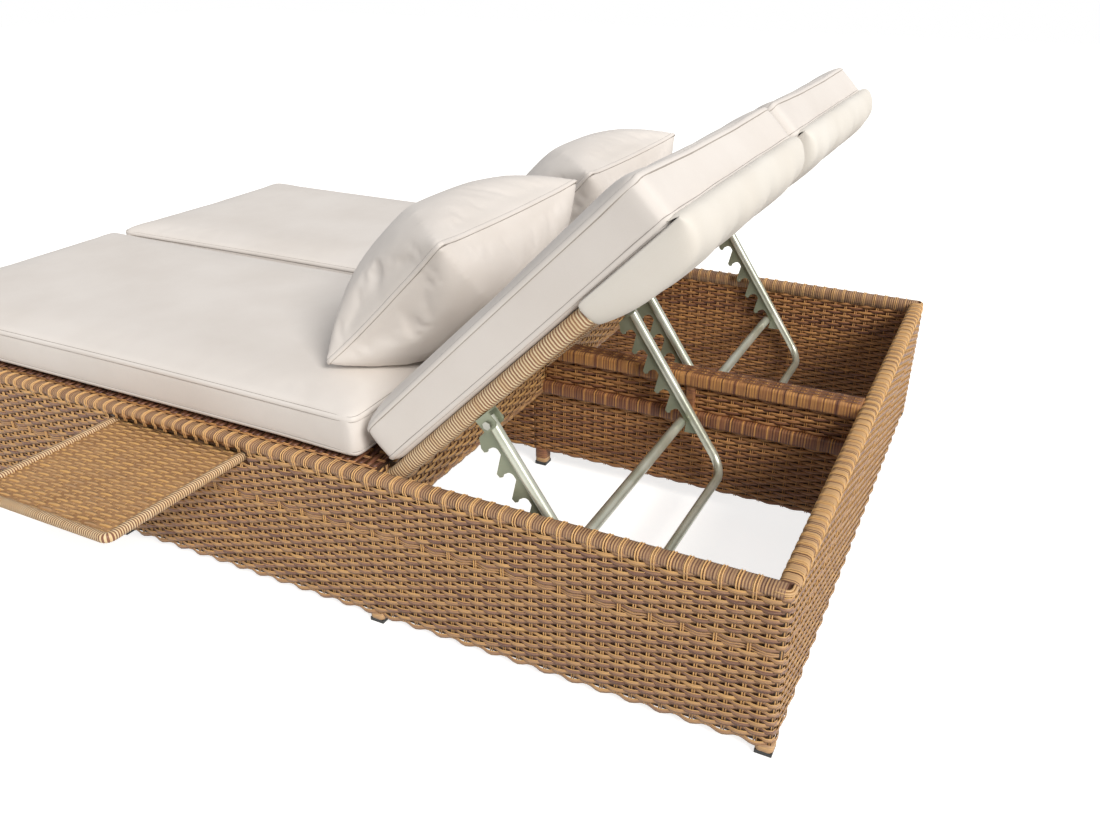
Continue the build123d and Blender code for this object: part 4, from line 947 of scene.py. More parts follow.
@dataclass
class Partition:
    """The wall between the compartments: two wrapped rails, a post, two webs and a wrapped leg.

    Another web stands under the seat, between the two middle legs.

    Attributes:
        rail: half width, half height and corner radius of a wrapped rail; post and leg give the same.
        staple: outline of the staples over the upper rail.
        braid: places of the flat strands along it.
    """

    rng: np.random.Generator
    start: float = 304.0
    end: float = 1002.0
    top_z: float = 299.0
    lower_z: float = 212.0
    rail_half: float = 14.0
    web_half: float = 15.0
    web_inset: float = 2.2
    backing_half: float = 9.0
    bay: float = 26.0
    post_y: float = 654.0
    leg_y: float = 294.0
    leg_half: float = 15.0
    low: float = 42.0
    seat_leg_y: float = -361.0
    spine_z: float = 270.0
    pitch: float = 2.9
    relief: float = 0.7
    rail: tuple[float, float, float] = (24.5, 14.5, 6.0)
    post: tuple[float, float, float] = (19.0, 10.5, 4.0)
    leg: tuple[float, float, float] = (14.6, 14.6, 7.6)
    staple_size: tuple[float, float] = (2.6, 1.8)
    braid: tuple[float, ...] = (-14.0, -7.0, 0.0, 7.0, 14.0)
    braid_size: tuple[float, float] = (6.6, 1.2)
    braid_lift: float = 15.2
    braid_wave: float = 0.9
    staple: tuple[tuple[float, float], ...] = (
        (-17.0, 13.6), (-12.0, 15.6), (0.0, 16.0), (12.0, 15.6), (17.0, 13.6),
    )

    def rails(self) -> None:
        """Wraps the rails, with staples and a flat braid on the upper one, and the post and leg."""
        batch = StrandBatch()
        jitter = self.rng.uniform(-0.1, 0.1, 800)
        ups = ((1, 0, 0), (0, 1, 0))
        rail, leg = (rounded_rectangle(*size, steps=4) for size in (self.rail, self.leg))
        post = rounded_rectangle(*self.post)
        plans = (
            (rail, (0, self.start, self.top_z), (0, self.end, self.top_z), ((-1, 0, 0), UP),
             lambda i: 0.1 if i % 9 == 0 else (0.9 if i % 2 else 0.6) + jitter[i]),
            (rail, (0, self.start, self.lower_z), (0, self.end, self.lower_z), ((-1, 0, 0), UP),
             lambda i: 0.95 if i % 9 == 0 else (0.5 if i % 2 else 0.16) + jitter[i]),
            (post, (0, self.post_y, self.lower_z + 12), (0, self.post_y, self.top_z - 12), ups,
             lambda i: 0.5 + jitter[i]),
            (leg, (0, self.leg_y, 20.0), (0, self.leg_y, self.low + 3), ups, lambda i: 0.38 + jitter[i]),
        )
        for section, start, end, directions, tone in plans:
            Wrapping(section, self.pitch, self.relief, tone).straight(batch, start, end, *directions)
        staple = np.array(self.staple)
        for i in range(int((self.end - self.start) / self.bay)):
            for shift, tone in ((-2.0, 1.0), (2.0, 0.75)):
                run = np.full(len(staple), self.start + 14 + i * self.bay + shift)
                path = np.stack([staple[:, 0], run, self.top_z + staple[:, 1] - 0.6], axis=1)
                batch.ribbon(path, UP, *self.staple_size, tone)
        places = np.arange(self.start + 2, self.end - 2, self.bay / 3)
        for k, across in enumerate(self.braid):
            level = self.top_z + self.braid_lift + self.braid_wave * np.cos(math.pi * (places / self.bay + k))
            path = np.stack([np.full(len(places), across), places, level], axis=1)
            batch.ribbon(path, UP, *self.braid_size, float(self.rng.uniform(0.05, 0.3)), offset=k * 211.0)
        make_piece("partition_rails", batch, Finish.LINING, nodes=("partition_weave",))

    def web(self, name: str, spans: Sequence[tuple[float, ...]], nodes: Sequence[str] = ()) -> None:
        """Weaves both faces of a web.

        Args:
            name: the piece's name.
            spans: the foot end, head end, bottom and top of each stretch.
            nodes: the CAD nodes that it stands for.
        """
        batch = StrandBatch()
        for s in (1, -1):
            for foot, head, low, high in spans:
                corner = (s * (self.web_half - self.web_inset), foot if s > 0 else head, low)
                WovenPanel(corner, (0, s, 0), UP, head - foot, high - low, wave=2.0).weave(batch, self.rng)
        make_piece(name, batch, Finish.LINING, nodes=nodes)

    def build(self) -> None:
        """Makes the partition's pieces and the web under the seat."""
        self.rails()
        half, room, low = self.backing_half, self.rail_half, self.low
        head, foot = self.leg_y - self.leg_half, self.seat_leg_y + self.leg_half
        lower = (head, self.end, low + 1, self.lower_z - room)
        upper = (self.start + 4, self.end, self.lower_z + room, self.top_z - room)
        self.web("partition_web", (lower, upper))
        self.web("seat_web_strands", ((foot, head, low + 1, self.spine_z - 1),), ("seat_web",))
        # The dark blocks behind the webs are painted shade, seen between their strands.
        for name, start, end, top in (
            ("partition_backing", self.start + 6, self.end, self.top_z - 6),
            ("seat_web_backing", foot, head, self.spine_z),
        ):
            span = ((-half, start, low + 4), (half, end, top))
            make_piece(name, blocks(name, [span]), Finish.BACKING)


@dataclass
class CrossWalls:
    """The low woven walls under the hinges, from the partition to the side walls."""

    rng: np.random.Generator
    x: tuple[float, float] = (15.0, 640.0)
    backing_x: float = 26.0
    backing_y: tuple[float, float] = (11.2, 12.0)
    y: float = 294.0
    half: float = 15.0
    low: float = 197.0
    top: float = 309.5
    edge: tuple[float, float, float] = (13.6, 6.0, 5.0)
    edge_pitch: float = 26.0
    edge_relief: float = 1.6
    edge_tone: float = 0.62
    edge_lift: float = 6.5

    def build(self) -> None:
        """Weaves both faces and the bottom edge of each wall."""
        front, back = StrandBatch(), StrandBatch()
        length, height = self.x[1] - self.x[0], self.top - self.low - 2
        for facing, batch in ((1, front), (-1, back)):
            for s in (1, -1):
                corner = (s * self.x[facing == s], self.y + facing * (self.half - 2.4), self.low + 1.5)
                # The high tones are painted light: the strands are lightened for the key lamp that falls on
                # the front faces.
                panel = WovenPanel(corner, (-facing, 0, 0), UP, length, height, wave=2.1, tone=(0.6, 0.95))
                panel.weave(batch, self.rng)
        section = rounded_rectangle(*self.edge)
        edge = Wrapping(section, self.edge_pitch, self.edge_relief, lambda i: self.edge_tone)
        spans = []
        for s in (1, -1):
            ends = [(s * x, self.y, self.low + self.edge_lift) for x in (self.backing_x, self.x[1])]
            edge.straight(front, *ends, (0, s, 0))
            for y in (1, -1):
                near, far = (self.y + y * step for step in self.backing_y)
                spans.append(((s * self.backing_x, near, self.low + 5), (s * self.x[1], far, self.top - 1)))
        make_piece("cross_wall", front, Finish.WALL, nodes=("cross_weave_right", "cross_weave_left"))
        make_piece("cross_wall_back", back, Finish.LINING)
        # The dark blocks behind the strands are painted shade.
        make_piece("cross_wall_backing", blocks("cross_wall_backing", spans), Finish.BACKING)


@dataclass
class LegCollars:
    """Wrapped collars round the legs, between the walls and the caps."""

    leg_ys: tuple[float, ...] = (1017.0, 294.0, -361.0, -1017.0)
    leg_x: float = 655.0
    span: tuple[float, float] = (9.2, 22.0)
    section: tuple[float, float, float] = (14.2, 14.2, 7.4)
    pitch: float = 2.9
    relief: float = 0.8

    def build(self) -> None:
        """Makes the nine collars as one piece."""
        batch = StrandBatch()
        section = rounded_rectangle(*self.section, steps=4)
        wrap = Wrapping(section, self.pitch, self.relief, lambda i: 0.58 + 0.12 * (i % 3))
        for x, y in [(s * self.leg_x, y) for s in (1, -1) for y in self.leg_ys] + [(0.0, self.leg_ys[1])]:
            wrap.straight(batch, (x, y, self.span[0]), (x, y, self.span[1]), (1, 0, 0), (0, 1, 0))
        make_piece("leg_collars", batch, Finish.RIM, nodes=("leg_wraps",))


@dataclass
class SeatDeck:
    """The woven panel under the seat cushions: wide strips over a dark sheet, both darkened as painted shade.
    """

    rng: np.random.Generator
    low: tuple[float, float] = (-639.0, -1001.0)
    size: tuple[float, float] = (1278.0, 1304.0)
    z: float = 314.0
    backing_z: tuple[float, float] = (310.2, 311.4)
    margin: float = 1.5

    def build(self) -> None:
        """Makes the deck and its sheet."""
        batch = StrandBatch()
        # The low tones are painted shade: the deck is seen only in the narrow shadowed gap beside the
        # cushions.
        WovenPanel(
            (*self.low, self.z), (1, 0, 0), (0, 1, 0), *self.size, row=14.5, strand=14.4, wave=1.6, fine=2,
            tone=(0.0, 0.3),
        ).weave(batch, self.rng)
        make_piece("seat_deck_weave", batch, Finish.LINING, nodes=("seat_deck",))
        near = [v - self.margin for v in self.low]
        far = (-near[0], self.low[1] + self.size[1] + 0.5)
        span = ((*near, self.backing_z[0]), (*far, self.backing_z[1]))
        make_piece("seat_deck_backing", blocks("seat_deck_backing", [span]), Finish.BACKING)


@dataclass
class Tray:
    """The side trays: a wrapped rim round a woven panel."""

    rng: np.random.Generator
    x: tuple[float, float] = (590.0, 970.0)
    y: tuple[float, float] = (-312.0, 28.0)
    z: float = 280.0
    edge: float = 16.0
    corner: float = 9.0
    pitch: float = 2.36
    ridge: float = 0.6
    groove: float = -0.1
    sheet_half: float = 0.6
    stripes: tuple[float, float] = (0.92, 0.2)

    def rim(self) -> bpy.types.Mesh:
        """Wraps the rim's tube, round its four corners."""
        batch, half = StrandBatch(), self.edge / 2
        outline = rounded_rectangle(
            (self.x[1] - self.x[0]) / 2 - half, (self.y[1] - self.y[0]) / 2 - half, self.corner, 7
        )
        gaps = np.linalg.norm(np.roll(outline, -1, 0) - outline, axis=1)
        wraps = round(float(gaps.sum()) / self.pitch)
        spots = np.arange(2 * wraps) * float(gaps.sum()) / (2 * wraps)
        ends, closed = np.concatenate([[0.0], np.cumsum(gaps)]), np.vstack([outline, outline[:1]])
        places = np.stack([np.interp(spots, ends, closed[:, i]) for i in (0, 1)] + [0 * spots], axis=1)
        run = np.roll(places, -1, 0) - np.roll(places, 1, 0)
        run /= np.linalg.norm(run, axis=1, keepdims=True)
        out = np.cross(run, UP)
        frames = np.stack([-out, np.broadcast_to(UP, out.shape)], axis=1)
        lift = np.where(np.arange(len(spots)) % 2 == 1, self.ridge, self.groove)
        places += ((self.x[0] + self.x[1]) / 2, (self.y[0] + self.y[1]) / 2, self.z)
        wrap = Wrapping(
            rounded_rectangle(half - 0.5, half - 0.5, 5.0), self.pitch, self.ridge,
            lambda i: self.stripes[i % 2],
        )
        wrap.follow(batch, places, frames, lift, wraps, True)
        return batch.mesh("tray_rim_right")

    def build(self) -> None:
        """Makes both trays."""
        batch, inset, edge = StrandBatch(), self.edge - 2, self.edge - 1
        WovenPanel(
            (self.x[0] + edge, self.y[1] - edge, self.z), (0, -1, 0), (1, 0, 0),
            self.y[1] - self.y[0] - 2 * edge, self.x[1] - self.x[0] - 2 * edge,
            row=7.6, strand=9.2, wave=1.5, tone=(0.84, 1.0),
        ).weave(batch, self.rng)
        low = (self.x[0] + inset, self.y[0] + inset, self.z - self.sheet_half)
        high = (self.x[1] - inset, self.y[1] - inset, self.z + self.sheet_half)
        sheet = blocks("tray_backing_right", [(low, high)])
        make_pair("tray_backing", sheet, Finish.TAN, "tray")
        make_pair("tray_rim", self.rim(), Finish.PALE, "tray", "tray_frame")
        make_pair("tray_panel", batch.mesh("tray_panel_right"), Finish.WALL, "tray", "tray_weave")


@dataclass(frozen=True)
class BackPlane:
    """The backrest's own directions: across, along the frame from the hinge, and square to it."""

    y: float = 337.0
    z: float = 300.0
    angle: float = 44.7

    @property
    def along(self) -> np.ndarray:
        """Direction from the hinge towards the head end of the frame."""
        return np.array([0.0, math.cos(math.radians(self.angle)), math.sin(math.radians(self.angle))])

    @property
    def out(self) -> np.ndarray:
        """Direction square to the frame, towards the cushion."""
        return np.array([0.0, -math.sin(math.radians(self.angle)), math.cos(math.radians(self.angle))])

    def points(self, local: Any) -> np.ndarray:
        """Turns (n, 3) across, along, out into the lounger's frame."""
        local = np.array(local, float)
        base = np.array([0.0, self.y, self.z])
        return base + local[:, :1] * (1.0, 0.0, 0.0) + local[:, 1:2] * self.along + local[:, 2:3] * self.out


def applied(mesh: bpy.types.Mesh, kind: str, **settings: Any) -> bpy.types.Mesh:
    """Applies one modifier to a mesh and returns the result as a new mesh."""
    holder = bpy.data.objects.new("holder", mesh)
    bpy.context.scene.collection.objects.link(holder)
    modifier = holder.modifiers.new(kind.lower(), kind)
    for key, value in settings.items():
        setattr(modifier, key, value)
    graph = bpy.context.evaluated_depsgraph_get()
    result = bpy.data.meshes.new_from_object(holder.evaluated_get(graph))
    bpy.data.objects.remove(holder)
    return result


def coordinates(mesh: bpy.types.Mesh) -> np.ndarray:
    """The mesh's points as (n, 3)."""
    flat = np.empty(len(mesh.vertices) * 3, np.float32)
    mesh.vertices.foreach_get("co", flat)
    return flat.reshape(-1, 3)


def plumped(form: bpy.types.Mesh, voxel: float, cap: float, floor: Optional[float] = None) -> bpy.types.Mesh:
    """Blows a cushion up with cloth pressure.

    Args:
        form: the slightly slack shape, in metres.
        voxel: size of the even mesh that is simulated, in millimetres.
        cap: how far a point may move, in millimetres.
        floor: the lowest z that the cushion may reach, in metres, where it rests on something.

    Returns:
        The smooth plumped mesh.
    """
    even = applied(form, "REMESH", mode="VOXEL", voxel_size=voxel * MM)
    places = coordinates(even).copy()
    scene = bpy.context.scene
    cloth_piece = bpy.data.objects.new("cloth_piece", even)
    scene.collection.objects.link(cloth_piece)
    cloth = cloth_piece.modifiers.new("cloth", "CLOTH")
    sheet = cloth.settings
    sheet.quality = 4
    sheet.mass = 0.3
    sheet.tension_stiffness = sheet.compression_stiffness = 12.0
    sheet.shear_stiffness = 6.0
    sheet.bending_stiffness = 0.6
    sheet.use_pressure = True
    sheet.uniform_pressure_force = 4.0
    sheet.effector_weights.gravity = 0.0
    cloth.collision_settings.use_collision = False
    for frame in range(1, CLOTH_FRAMES + 1):
        scene.frame_set(frame)
    graph = bpy.context.evaluated_depsgraph_get()
    even = bpy.data.meshes.new_from_object(cloth_piece.evaluated_get(graph))
    scene.frame_set(1)
    bpy.data.objects.remove(cloth_piece)
    move = coordinates(even) - places
    reach = np.linalg.norm(move, axis=1, keepdims=True)
    places = places + move * np.minimum(1.0, cap * MM / np.maximum(reach, 1e-9))
    if floor is not None:
        places[:, 2] = np.maximum(places[:, 2], floor)
    even.vertices.foreach_set("co", places.astype(np.float32).reshape(-1))
    even.update()
    smooth = applied(even, "SUBSURF", levels=1, render_levels=1)
    smooth.polygons.foreach_set("use_smooth", np.ones(len(smooth.polygons), bool))
    return smooth


def sewn_band(cushion: bpy.types.Mesh, loop: np.ndarray, width: float, lift: float) -> bpy.types.Mesh:
    """Lays a closed sewn band on a cushion, between its two lines of stitches.

    Args:
        cushion: the finished cushion, in metres.
        loop: (n, 3) points near the surface, in metres.
        width: the band's width in millimetres.
        lift: how far its middle stands over the surface, in millimetres.

    Returns:
        The band as a closed tube, whose across values are 1 and -1 at its stitches.
    """
    form = bmesh.new()
    form.from_mesh(cushion)
    tree = BVHTree.FromBMesh(form)
    found = [tree.find_nearest(Vector(point)) for point in loop]
    form.free()
    spots, normals = np.array([hit[0] for hit in found]) / MM, np.array([hit[1] for hit in found])
    for _ in range(BAND_SMOOTHING):
        spots = (np.roll(spots, 1, 0) + 2 * spots + np.roll(spots, -1, 0)) / 4
        normals = (np.roll(normals, 1, 0) + 2 * normals + np.roll(normals, -1, 0)) / 4
    tangent = np.roll(spots, -1, 0) - np.roll(spots, 1, 0)
    tangent /= np.linalg.norm(tangent, axis=1, keepdims=True)
    side = np.cross(tangent, normals)
    side /= np.linalg.norm(side, axis=1, keepdims=True)
    normals = np.cross(side, tangent)
    shape = [(-a, h, -mark) for a, h, mark in BAND_HALF[:0:-1]] + [*BAND_HALF, BAND_UNDER]
    if np.dot(np.cross(side[0], normals[0]), tangent[0]) > 0:
        shape = shape[::-1]
    points = np.stack([spots + a * width * side + h * lift * normals for a, h, _ in shape], axis=1)
    batch = StrandBatch()
    marks = np.array([mark for _, _, mark in shape])
    batch.grid(points, np.arange(len(spots), dtype=float), marks, np.zeros(len(spots)), True)
    return batch.mesh("sewn_band")


def joined(meshes: Sequence[bpy.types.Mesh], name: str) -> bpy.types.Mesh:
    """Puts several meshes into one, keeping the across attribute where a mesh has it."""
    points, faces, marks, start = [], [], [], 0
    for mesh in meshes:
        places = coordinates(mesh)
        points.append(places)
        faces += [[start + i for i in polygon.vertices] for polygon in mesh.polygons]
        values = np.zeros(len(places), np.float32)
        if ACROSS in mesh.attributes:
            mesh.attributes[ACROSS].data.foreach_get("value", values)
        marks.append(values)
        start += len(places)
    whole = bpy.data.meshes.new(name)
    whole.from_pydata(np.concatenate(points).tolist(), [], faces)
    whole.attributes.new(ACROSS, "FLOAT", "POINT").data.foreach_set("value", np.concatenate(marks))
    whole.polygons.foreach_set("use_smooth", np.ones(len(whole.polygons), bool))
    whole.update()
    return whole


@dataclass(frozen=True)
class BoxCushion:
    """A boxed cushion: crowned top, straight border, and sides that draw in between rounded corners.

    Attributes:
        profile: distance in from the edge and height of each ring, up to the border's top.
        crown: the same for the top, with heights over the thickness.
        bands: height, width and lift of each sewn band.
        near_round: radius that the foot end's top edge is rounded to.
        voxel: size of the simulated mesh's faces.
        cap: how far the pressure may move a point.
        slack: how far the form is drawn in before the pressure fills it.
        floor: the lowest height that it may reach.
        fade: distance in from the edge where the sides no longer draw in.
    """

    width: float
    length: float
    thickness: float = 86.0
    corner: float = 24.0
    draw_in: float = 5.0
    near_round: float = 0.0
    voxel: float = 10.0
    cap: float = 9.0
    slack: float = 2.5
    floor: float = 0.2
    profile: tuple[tuple[float, float], ...] = (
        (300.0, 1.0), (120.0, 1.0), (14.0, 1.0), (5.0, 3.0),
        (1.5, 9.0), (0.5, 25.0), (0.0, 43.0), (0.5, 62.0),
    )
    crown: tuple[tuple[float, float], ...] = (
        (1.5, -8.0), (4.5, -2.0), (12.0, 0.5), (30.0, 2.4),
        (70.0, 5.2), (130.0, 7.6), (220.0, 9.0), (300.0, 9.6),
    )
    bands: tuple[tuple[float, float, float], ...] = ((82.0, 10.5, 2.4), (7.0, 9.5, 2.2))
    seam_inset: float = 1.0
    corner_steps: int = 8
    side_steps: int = 28
    fade: float = 60.0

    def outline(self, inset: float) -> np.ndarray:
        """The cushion's plan at a distance in from its edge, as (n, 2)."""
        half = (self.width / 2 - inset, self.length / 2 - inset)
        corners = rounded_rectangle(*half, max(self.corner - inset, 6.0), self.corner_steps)
        ring = []
        for i, point in enumerate(corners):
            ring.append(point)
            if (i + 1) % self.corner_steps == 0:
                after = corners[(i + 1) % len(corners)]
                ring += [point + (after - point) * t / self.side_steps for t in range(1, self.side_steps)]
        ring = np.array(ring)
        pull = self.draw_in * np.clip(1 - inset / self.fade, 0.0, 1.0)
        share_x, share_y = ring[:, 0] / half[0], ring[:, 1] / half[1]
        ring[:, 0] -= np.sign(share_x) * pull * (1 - share_y**2) * np.abs(share_x) ** 6
        ring[:, 1] -= np.sign(share_y) * pull * (1 - share_x**2) * np.abs(share_y) ** 6
        return ring

    def level(self, inset: float, z: float) -> np.ndarray:
        """The plan's ring at a distance in from the edge and at a height, as (n, 3) in millimetres."""
        ring = self.outline(inset)
        return np.column_stack([ring, np.full(len(ring), z)])

    def form(self) -> bpy.types.Mesh:
        """The cushion before it is plumped, centred on its plan and standing on z = 0, in metres."""
        profile = self.profile + tuple((inset, self.thickness + over) for inset, over in self.crown)
        rings = [self.level(inset + self.slack, z) for inset, z in profile]
        if self.near_round:
            edge_y = -self.length / 2 + self.near_round + self.slack
            edge_z = self.thickness - self.near_round
            for ring in rings:
                dy, dz = edge_y - ring[:, 1], ring[:, 2] - edge_z
                hit = (dy > 0) & (dz > 0)
                room = np.sqrt(np.maximum(self.near_round**2 - np.minimum(dy, self.near_round) ** 2, 0.0))
                ring[hit, 2] = edge_z + np.minimum(dz[hit], room[hit] + 1.0)
        return lofted("cushion_form", rings)

    def sewn(self, name: str) -> bpy.types.Mesh:
        """The plumped cushion with its sewn bands, on its own axes, in metres."""
        body = plumped(self.form(), self.voxel, self.cap, floor=self.floor * MM)
        bands = [
            sewn_band(body, self.level(self.seam_inset, z) * MM, width, lift)
            for z, width, lift in self.bands
        ]
        return joined([body, *bands], name)


@dataclass(frozen=True)
class KnifeEdgePillow:
    """A plump throw pillow: two panels that thin to a sewn edge, drawn in between pointed corners.

    Attributes:
        shares: the size of each ring of a panel as a share of the sewn edge.
        seam: half the panels' distance at the sewn edge.
        band: width and lift of the sewn edge.
        dome: powers of a panel's rise from its edge.
        falls: the same for its fall towards the sides, across and along.
        least: share of the rise that is left at the corners.
    """

    width: float = 520.0
    height: float = 380.0
    half_thick: float = 124.0
    draw_in: float = 12.0
    voxel: float = 9.0
    cap: float = 12.0
    seam: float = 1.2
    shares: tuple[float, ...] = (1.0, 0.985, 0.95, 0.88, 0.78, 0.62, 0.42, 0.2)
    band: tuple[float, float] = (9.5, 2.3)
    dome: tuple[float, float] = (2.6, 0.56)
    falls: tuple[tuple[float, float], ...] = ((2.8, 0.52), (2.6, 0.5))
    least: float = 0.25

    def edge(self, count: int = 40) -> np.ndarray:
        """The sewn edge, as (4 * count, 2)."""
        a, b = self.width / 2, self.height / 2
        t = 2 * np.arange(count) / count - 1
        bow = self.draw_in * (1 - t * t)
        sides = ((a - bow, t * b), (-t * a, b - bow), (bow - a, -t * b), (t * a, bow - b))
        return np.concatenate([np.stack(side, axis=1) for side in sides])

    def form(self) -> bpy.types.Mesh:
        """The pillow before it is plumped, across its plan in x and y with its thickness in z, in metres."""
        edge, rings, (rise, rise_root) = self.edge(), [], self.dome
        for share in self.shares:
            plan, local = edge * share, np.ones(len(edge))
            for far, size, (power, root) in zip(np.abs(plan).T, (self.width, self.height), self.falls):
                local = local * np.maximum(0.0, 1 - (far / (size / 2)) ** power) ** root
            lift = self.half_thick * (1 - share**rise) ** rise_root * (self.least + (1 - self.least) * local)
            rings.append(np.column_stack([plan, lift if share < 1 else np.full(len(plan), self.seam)]))
        return lofted("pillow_form", [ring * (1, 1, -1) for ring in rings[::-1]] + rings)

    def sewn(self, name: str) -> bpy.types.Mesh:
        """The plumped pillow with its sewn edge, on its own axes, in metres."""
        body, edge = plumped(self.form(), self.voxel, self.cap), self.edge()
        loop = np.column_stack([edge, np.zeros(len(edge))])
        return joined([body, sewn_band(body, loop * MM, *self.band)], name)


@dataclass
class SeatCushions:
    """The two seat cushions on the deck."""

    form: BoxCushion = BoxCushion(width=650.0, length=1308.0)
    centre: tuple[float, float, float] = (327.0, -374.0, 318.3)

    def build(self) -> None:
        """Makes the right cushion and mirrors it."""
        pad = self.form.sewn("seat_pad_right")
        pad.transform(Matrix.Translation(Vector(self.centre) * MM))
        make_pair("seat_pad", pad, Finish.CUSHION, "base", "seat_cushion")


@dataclass
class Sleeve:
    """The fabric sleeve under the cushion's head end: a soft bag that is open towards the seat.

    Attributes:
        profile: its section as places along the backrest and square to it.
        x: its ends across the backrest.
        end_round: how far from its ends it starts to draw in.
        end_level: the height that its ends draw in towards.
        skirt: height that its side panels reach, inside the cushion.
        waves: height, run and start of each of its folds across the backrest.
    """

    plane: BackPlane
    x: tuple[float, float] = (32.5, 637.5)
    columns: int = 61
    end_round: float = 18.0
    end_level: float = 14.0
    end_share: float = 0.72
    end_step: float = 6.0
    skirt: float = 24.0
    thick: float = 2.6
    waves: tuple[tuple[float, float, float], ...] = ((2.4, 31.0, 0.0), (1.6, 13.0, 1.0))
    wave_share: float = 0.9
    profile: tuple[tuple[float, float], ...] = (
        (500.0, -17.0), (518.0, -22.5), (538.0, -28.0), (560.0, -32.0), (585.0, -34.5), (610.0, -35.2),
        (640.0, -35.0), (664.0, -33.5), (682.0, -27.5), (693.0, -17.5), (701.0, -5.0), (705.0, 7.0),
        (706.0, 17.0), (702.5, 25.0), (689.0, 29.0),
    )

    def mesh(self) -> bpy.types.Mesh:
        """Sews the right sleeve."""
        profile, rows = np.array(self.profile), len(self.profile)
        across, share = np.linspace(*self.x, self.columns), np.linspace(0, 1, rows)
        soft = np.minimum(np.minimum(across - self.x[0], self.x[1] - across) / self.end_round, 1.0)
        soft = np.sqrt(1 - (1 - soft) ** 2)
        waves = sum(height * np.sin(across / run + start) for height, run, start in self.waves)
        drawn = np.maximum(self.end_level - profile[:, 1], 0.0) * self.end_share
        reach = profile[:, 1] + np.outer(1 - soft, drawn)
        reach = reach + np.outer(soft * waves, np.sin(math.pi * share) * self.wave_share)
        reach = np.minimum(reach, profile[-1, 1])
        along = profile[:, 0] - np.outer(1 - soft, self.end_step * share**3)
        grid = np.stack([np.repeat(across[:, None], rows, axis=1), along, reach], axis=-1)
        faces = [
            [i * rows + j, (i + 1) * rows + j, (i + 1) * rows + j + 1, i * rows + j + 1]
            for i in range(self.columns - 1)
            for j in range(rows - 1)
        ]
        points = [grid.reshape(-1, 3)]
        for end, i in enumerate((0, self.columns - 1)):
            top = grid[i].copy()
            top[:, 2] = np.maximum(top[:, 2], self.skirt)
            points.append(top)
            start = (self.columns + end) * rows
            for j in range(rows - 1):
                quad = [i * rows + j, i * rows + j + 1, start + j + 1, start + j]
                faces.append(quad[::-1] if end else quad)
        mesh = bpy.data.meshes.new("sleeve_sheet")
        mesh.from_pydata((self.plane.points(np.vstack(points)) * MM).tolist(), [], faces)
        mesh = applied(mesh, "SOLIDIFY", thickness=self.thick * MM, offset=-1.0)
        mesh = applied(mesh, "SUBSURF", levels=1, render_levels=1)
        mesh.polygons.foreach_set("use_smooth", np.ones(len(mesh.polygons), bool))
        return mesh


@dataclass
class Backrests:
    """Both backrests: wrapped rails, woven panel, cushion, sleeve and pillow.

    Attributes:
        rail_x: places of the inner and the outer rail across the backrest.
        rail_s: the rails' ends along it.
        rail_mid: height of their middle line.
        stripes: tones of the even and the odd strands on them.
        panel: corner of the woven panel, then its width and length.
    """

    rng: np.random.Generator
    plane: BackPlane = BackPlane()
    rail_x: tuple[float, float] = (50.0, 620.0)
    rail_s: tuple[float, float] = (-14.0, 655.0)
    rail_mid: float = 3.0
    rail_section: tuple[float, float, float] = (13.5, 14.5, 9.0)
    pitch: float = 3.0
    relief: float = 1.0
    stripes: tuple[float, float] = (0.36, 1.0)
    panel: tuple[float, ...] = (606.0, 34.0, -6.0, 542.0, 621.0)
    cushion: BoxCushion = BoxCushion(width=650.0, length=695.0, near_round=34.0)
    cushion_centre: tuple[float, float, float] = (327.0, 354.5, 18.3)
    pillow: KnifeEdgePillow = KnifeEdgePillow()
    pillow_centre: tuple[float, float, float] = (285.0, 131.5, 239.9)

    def placed(self, mesh: bpy.types.Mesh, centre: Sequence[float]) -> bpy.types.Mesh:
        """Moves a mesh from its own axes to a place on the backrest."""
        spot = self.plane.points([centre])[0] * MM
        axes = Matrix((Vector((1, 0, 0)), Vector(self.plane.along), Vector(self.plane.out)))
        mesh.transform(Matrix.Translation(Vector(spot)) @ axes.transposed().to_4x4())
        return mesh

    def build(self) -> None:
        """Makes the right backrest's pieces and mirrors them."""
        section = rounded_rectangle(*self.rail_section, steps=4)
        jitter = self.rng.uniform(-0.08, 0.08, 400)
        wrap = Wrapping(section, self.pitch, self.relief, lambda i: self.stripes[i % 2] + jitter[i])
        for word, x in zip(("inner", "outer"), self.rail_x):
            batch = StrandBatch()
            ends = self.plane.points([(x, s, self.rail_mid) for s in self.rail_s])
            wrap.straight(batch, *ends, (-1, 0, 0), self.plane.out)
            rail = batch.mesh(f"wrapped_rail_{word}_right")
            node = f"back_rail_{word}"
            make_pair(f"wrapped_rail_{word}", rail, Finish.PALE, "backrest", node)
        batch, corner = StrandBatch(), self.plane.points([self.panel[:3]])[0]
        WovenPanel(corner, (-1, 0, 0), self.plane.along, *self.panel[3:], wave=2.2).weave(batch, self.rng)
        pad = self.placed(self.cushion.sewn("back_pad_right"), self.cushion_centre)
        throw = self.placed(self.pillow.sewn("throw_pillow_right"), self.pillow_centre)
        for stem, mesh, finish, slot, node, fill in (
            ("back_panel", batch.mesh("back_panel_right"), Finish.WALL, "wicker", "back_weave", None),
            ("back_pad", pad, Finish.CUSHION, "cushion_fabric", "back_cushion", 0.85),
            ("throw_pillow", throw, Finish.PILLOW, "pillow_fabric", "pillow", 0.8),
            ("sleeve", Sleeve(self.plane).mesh(), Finish.SLEEVE, "sleeve_fabric", "pocket", 0.2),
        ):
            make_pair(stem, mesh, finish, "backrest", node)


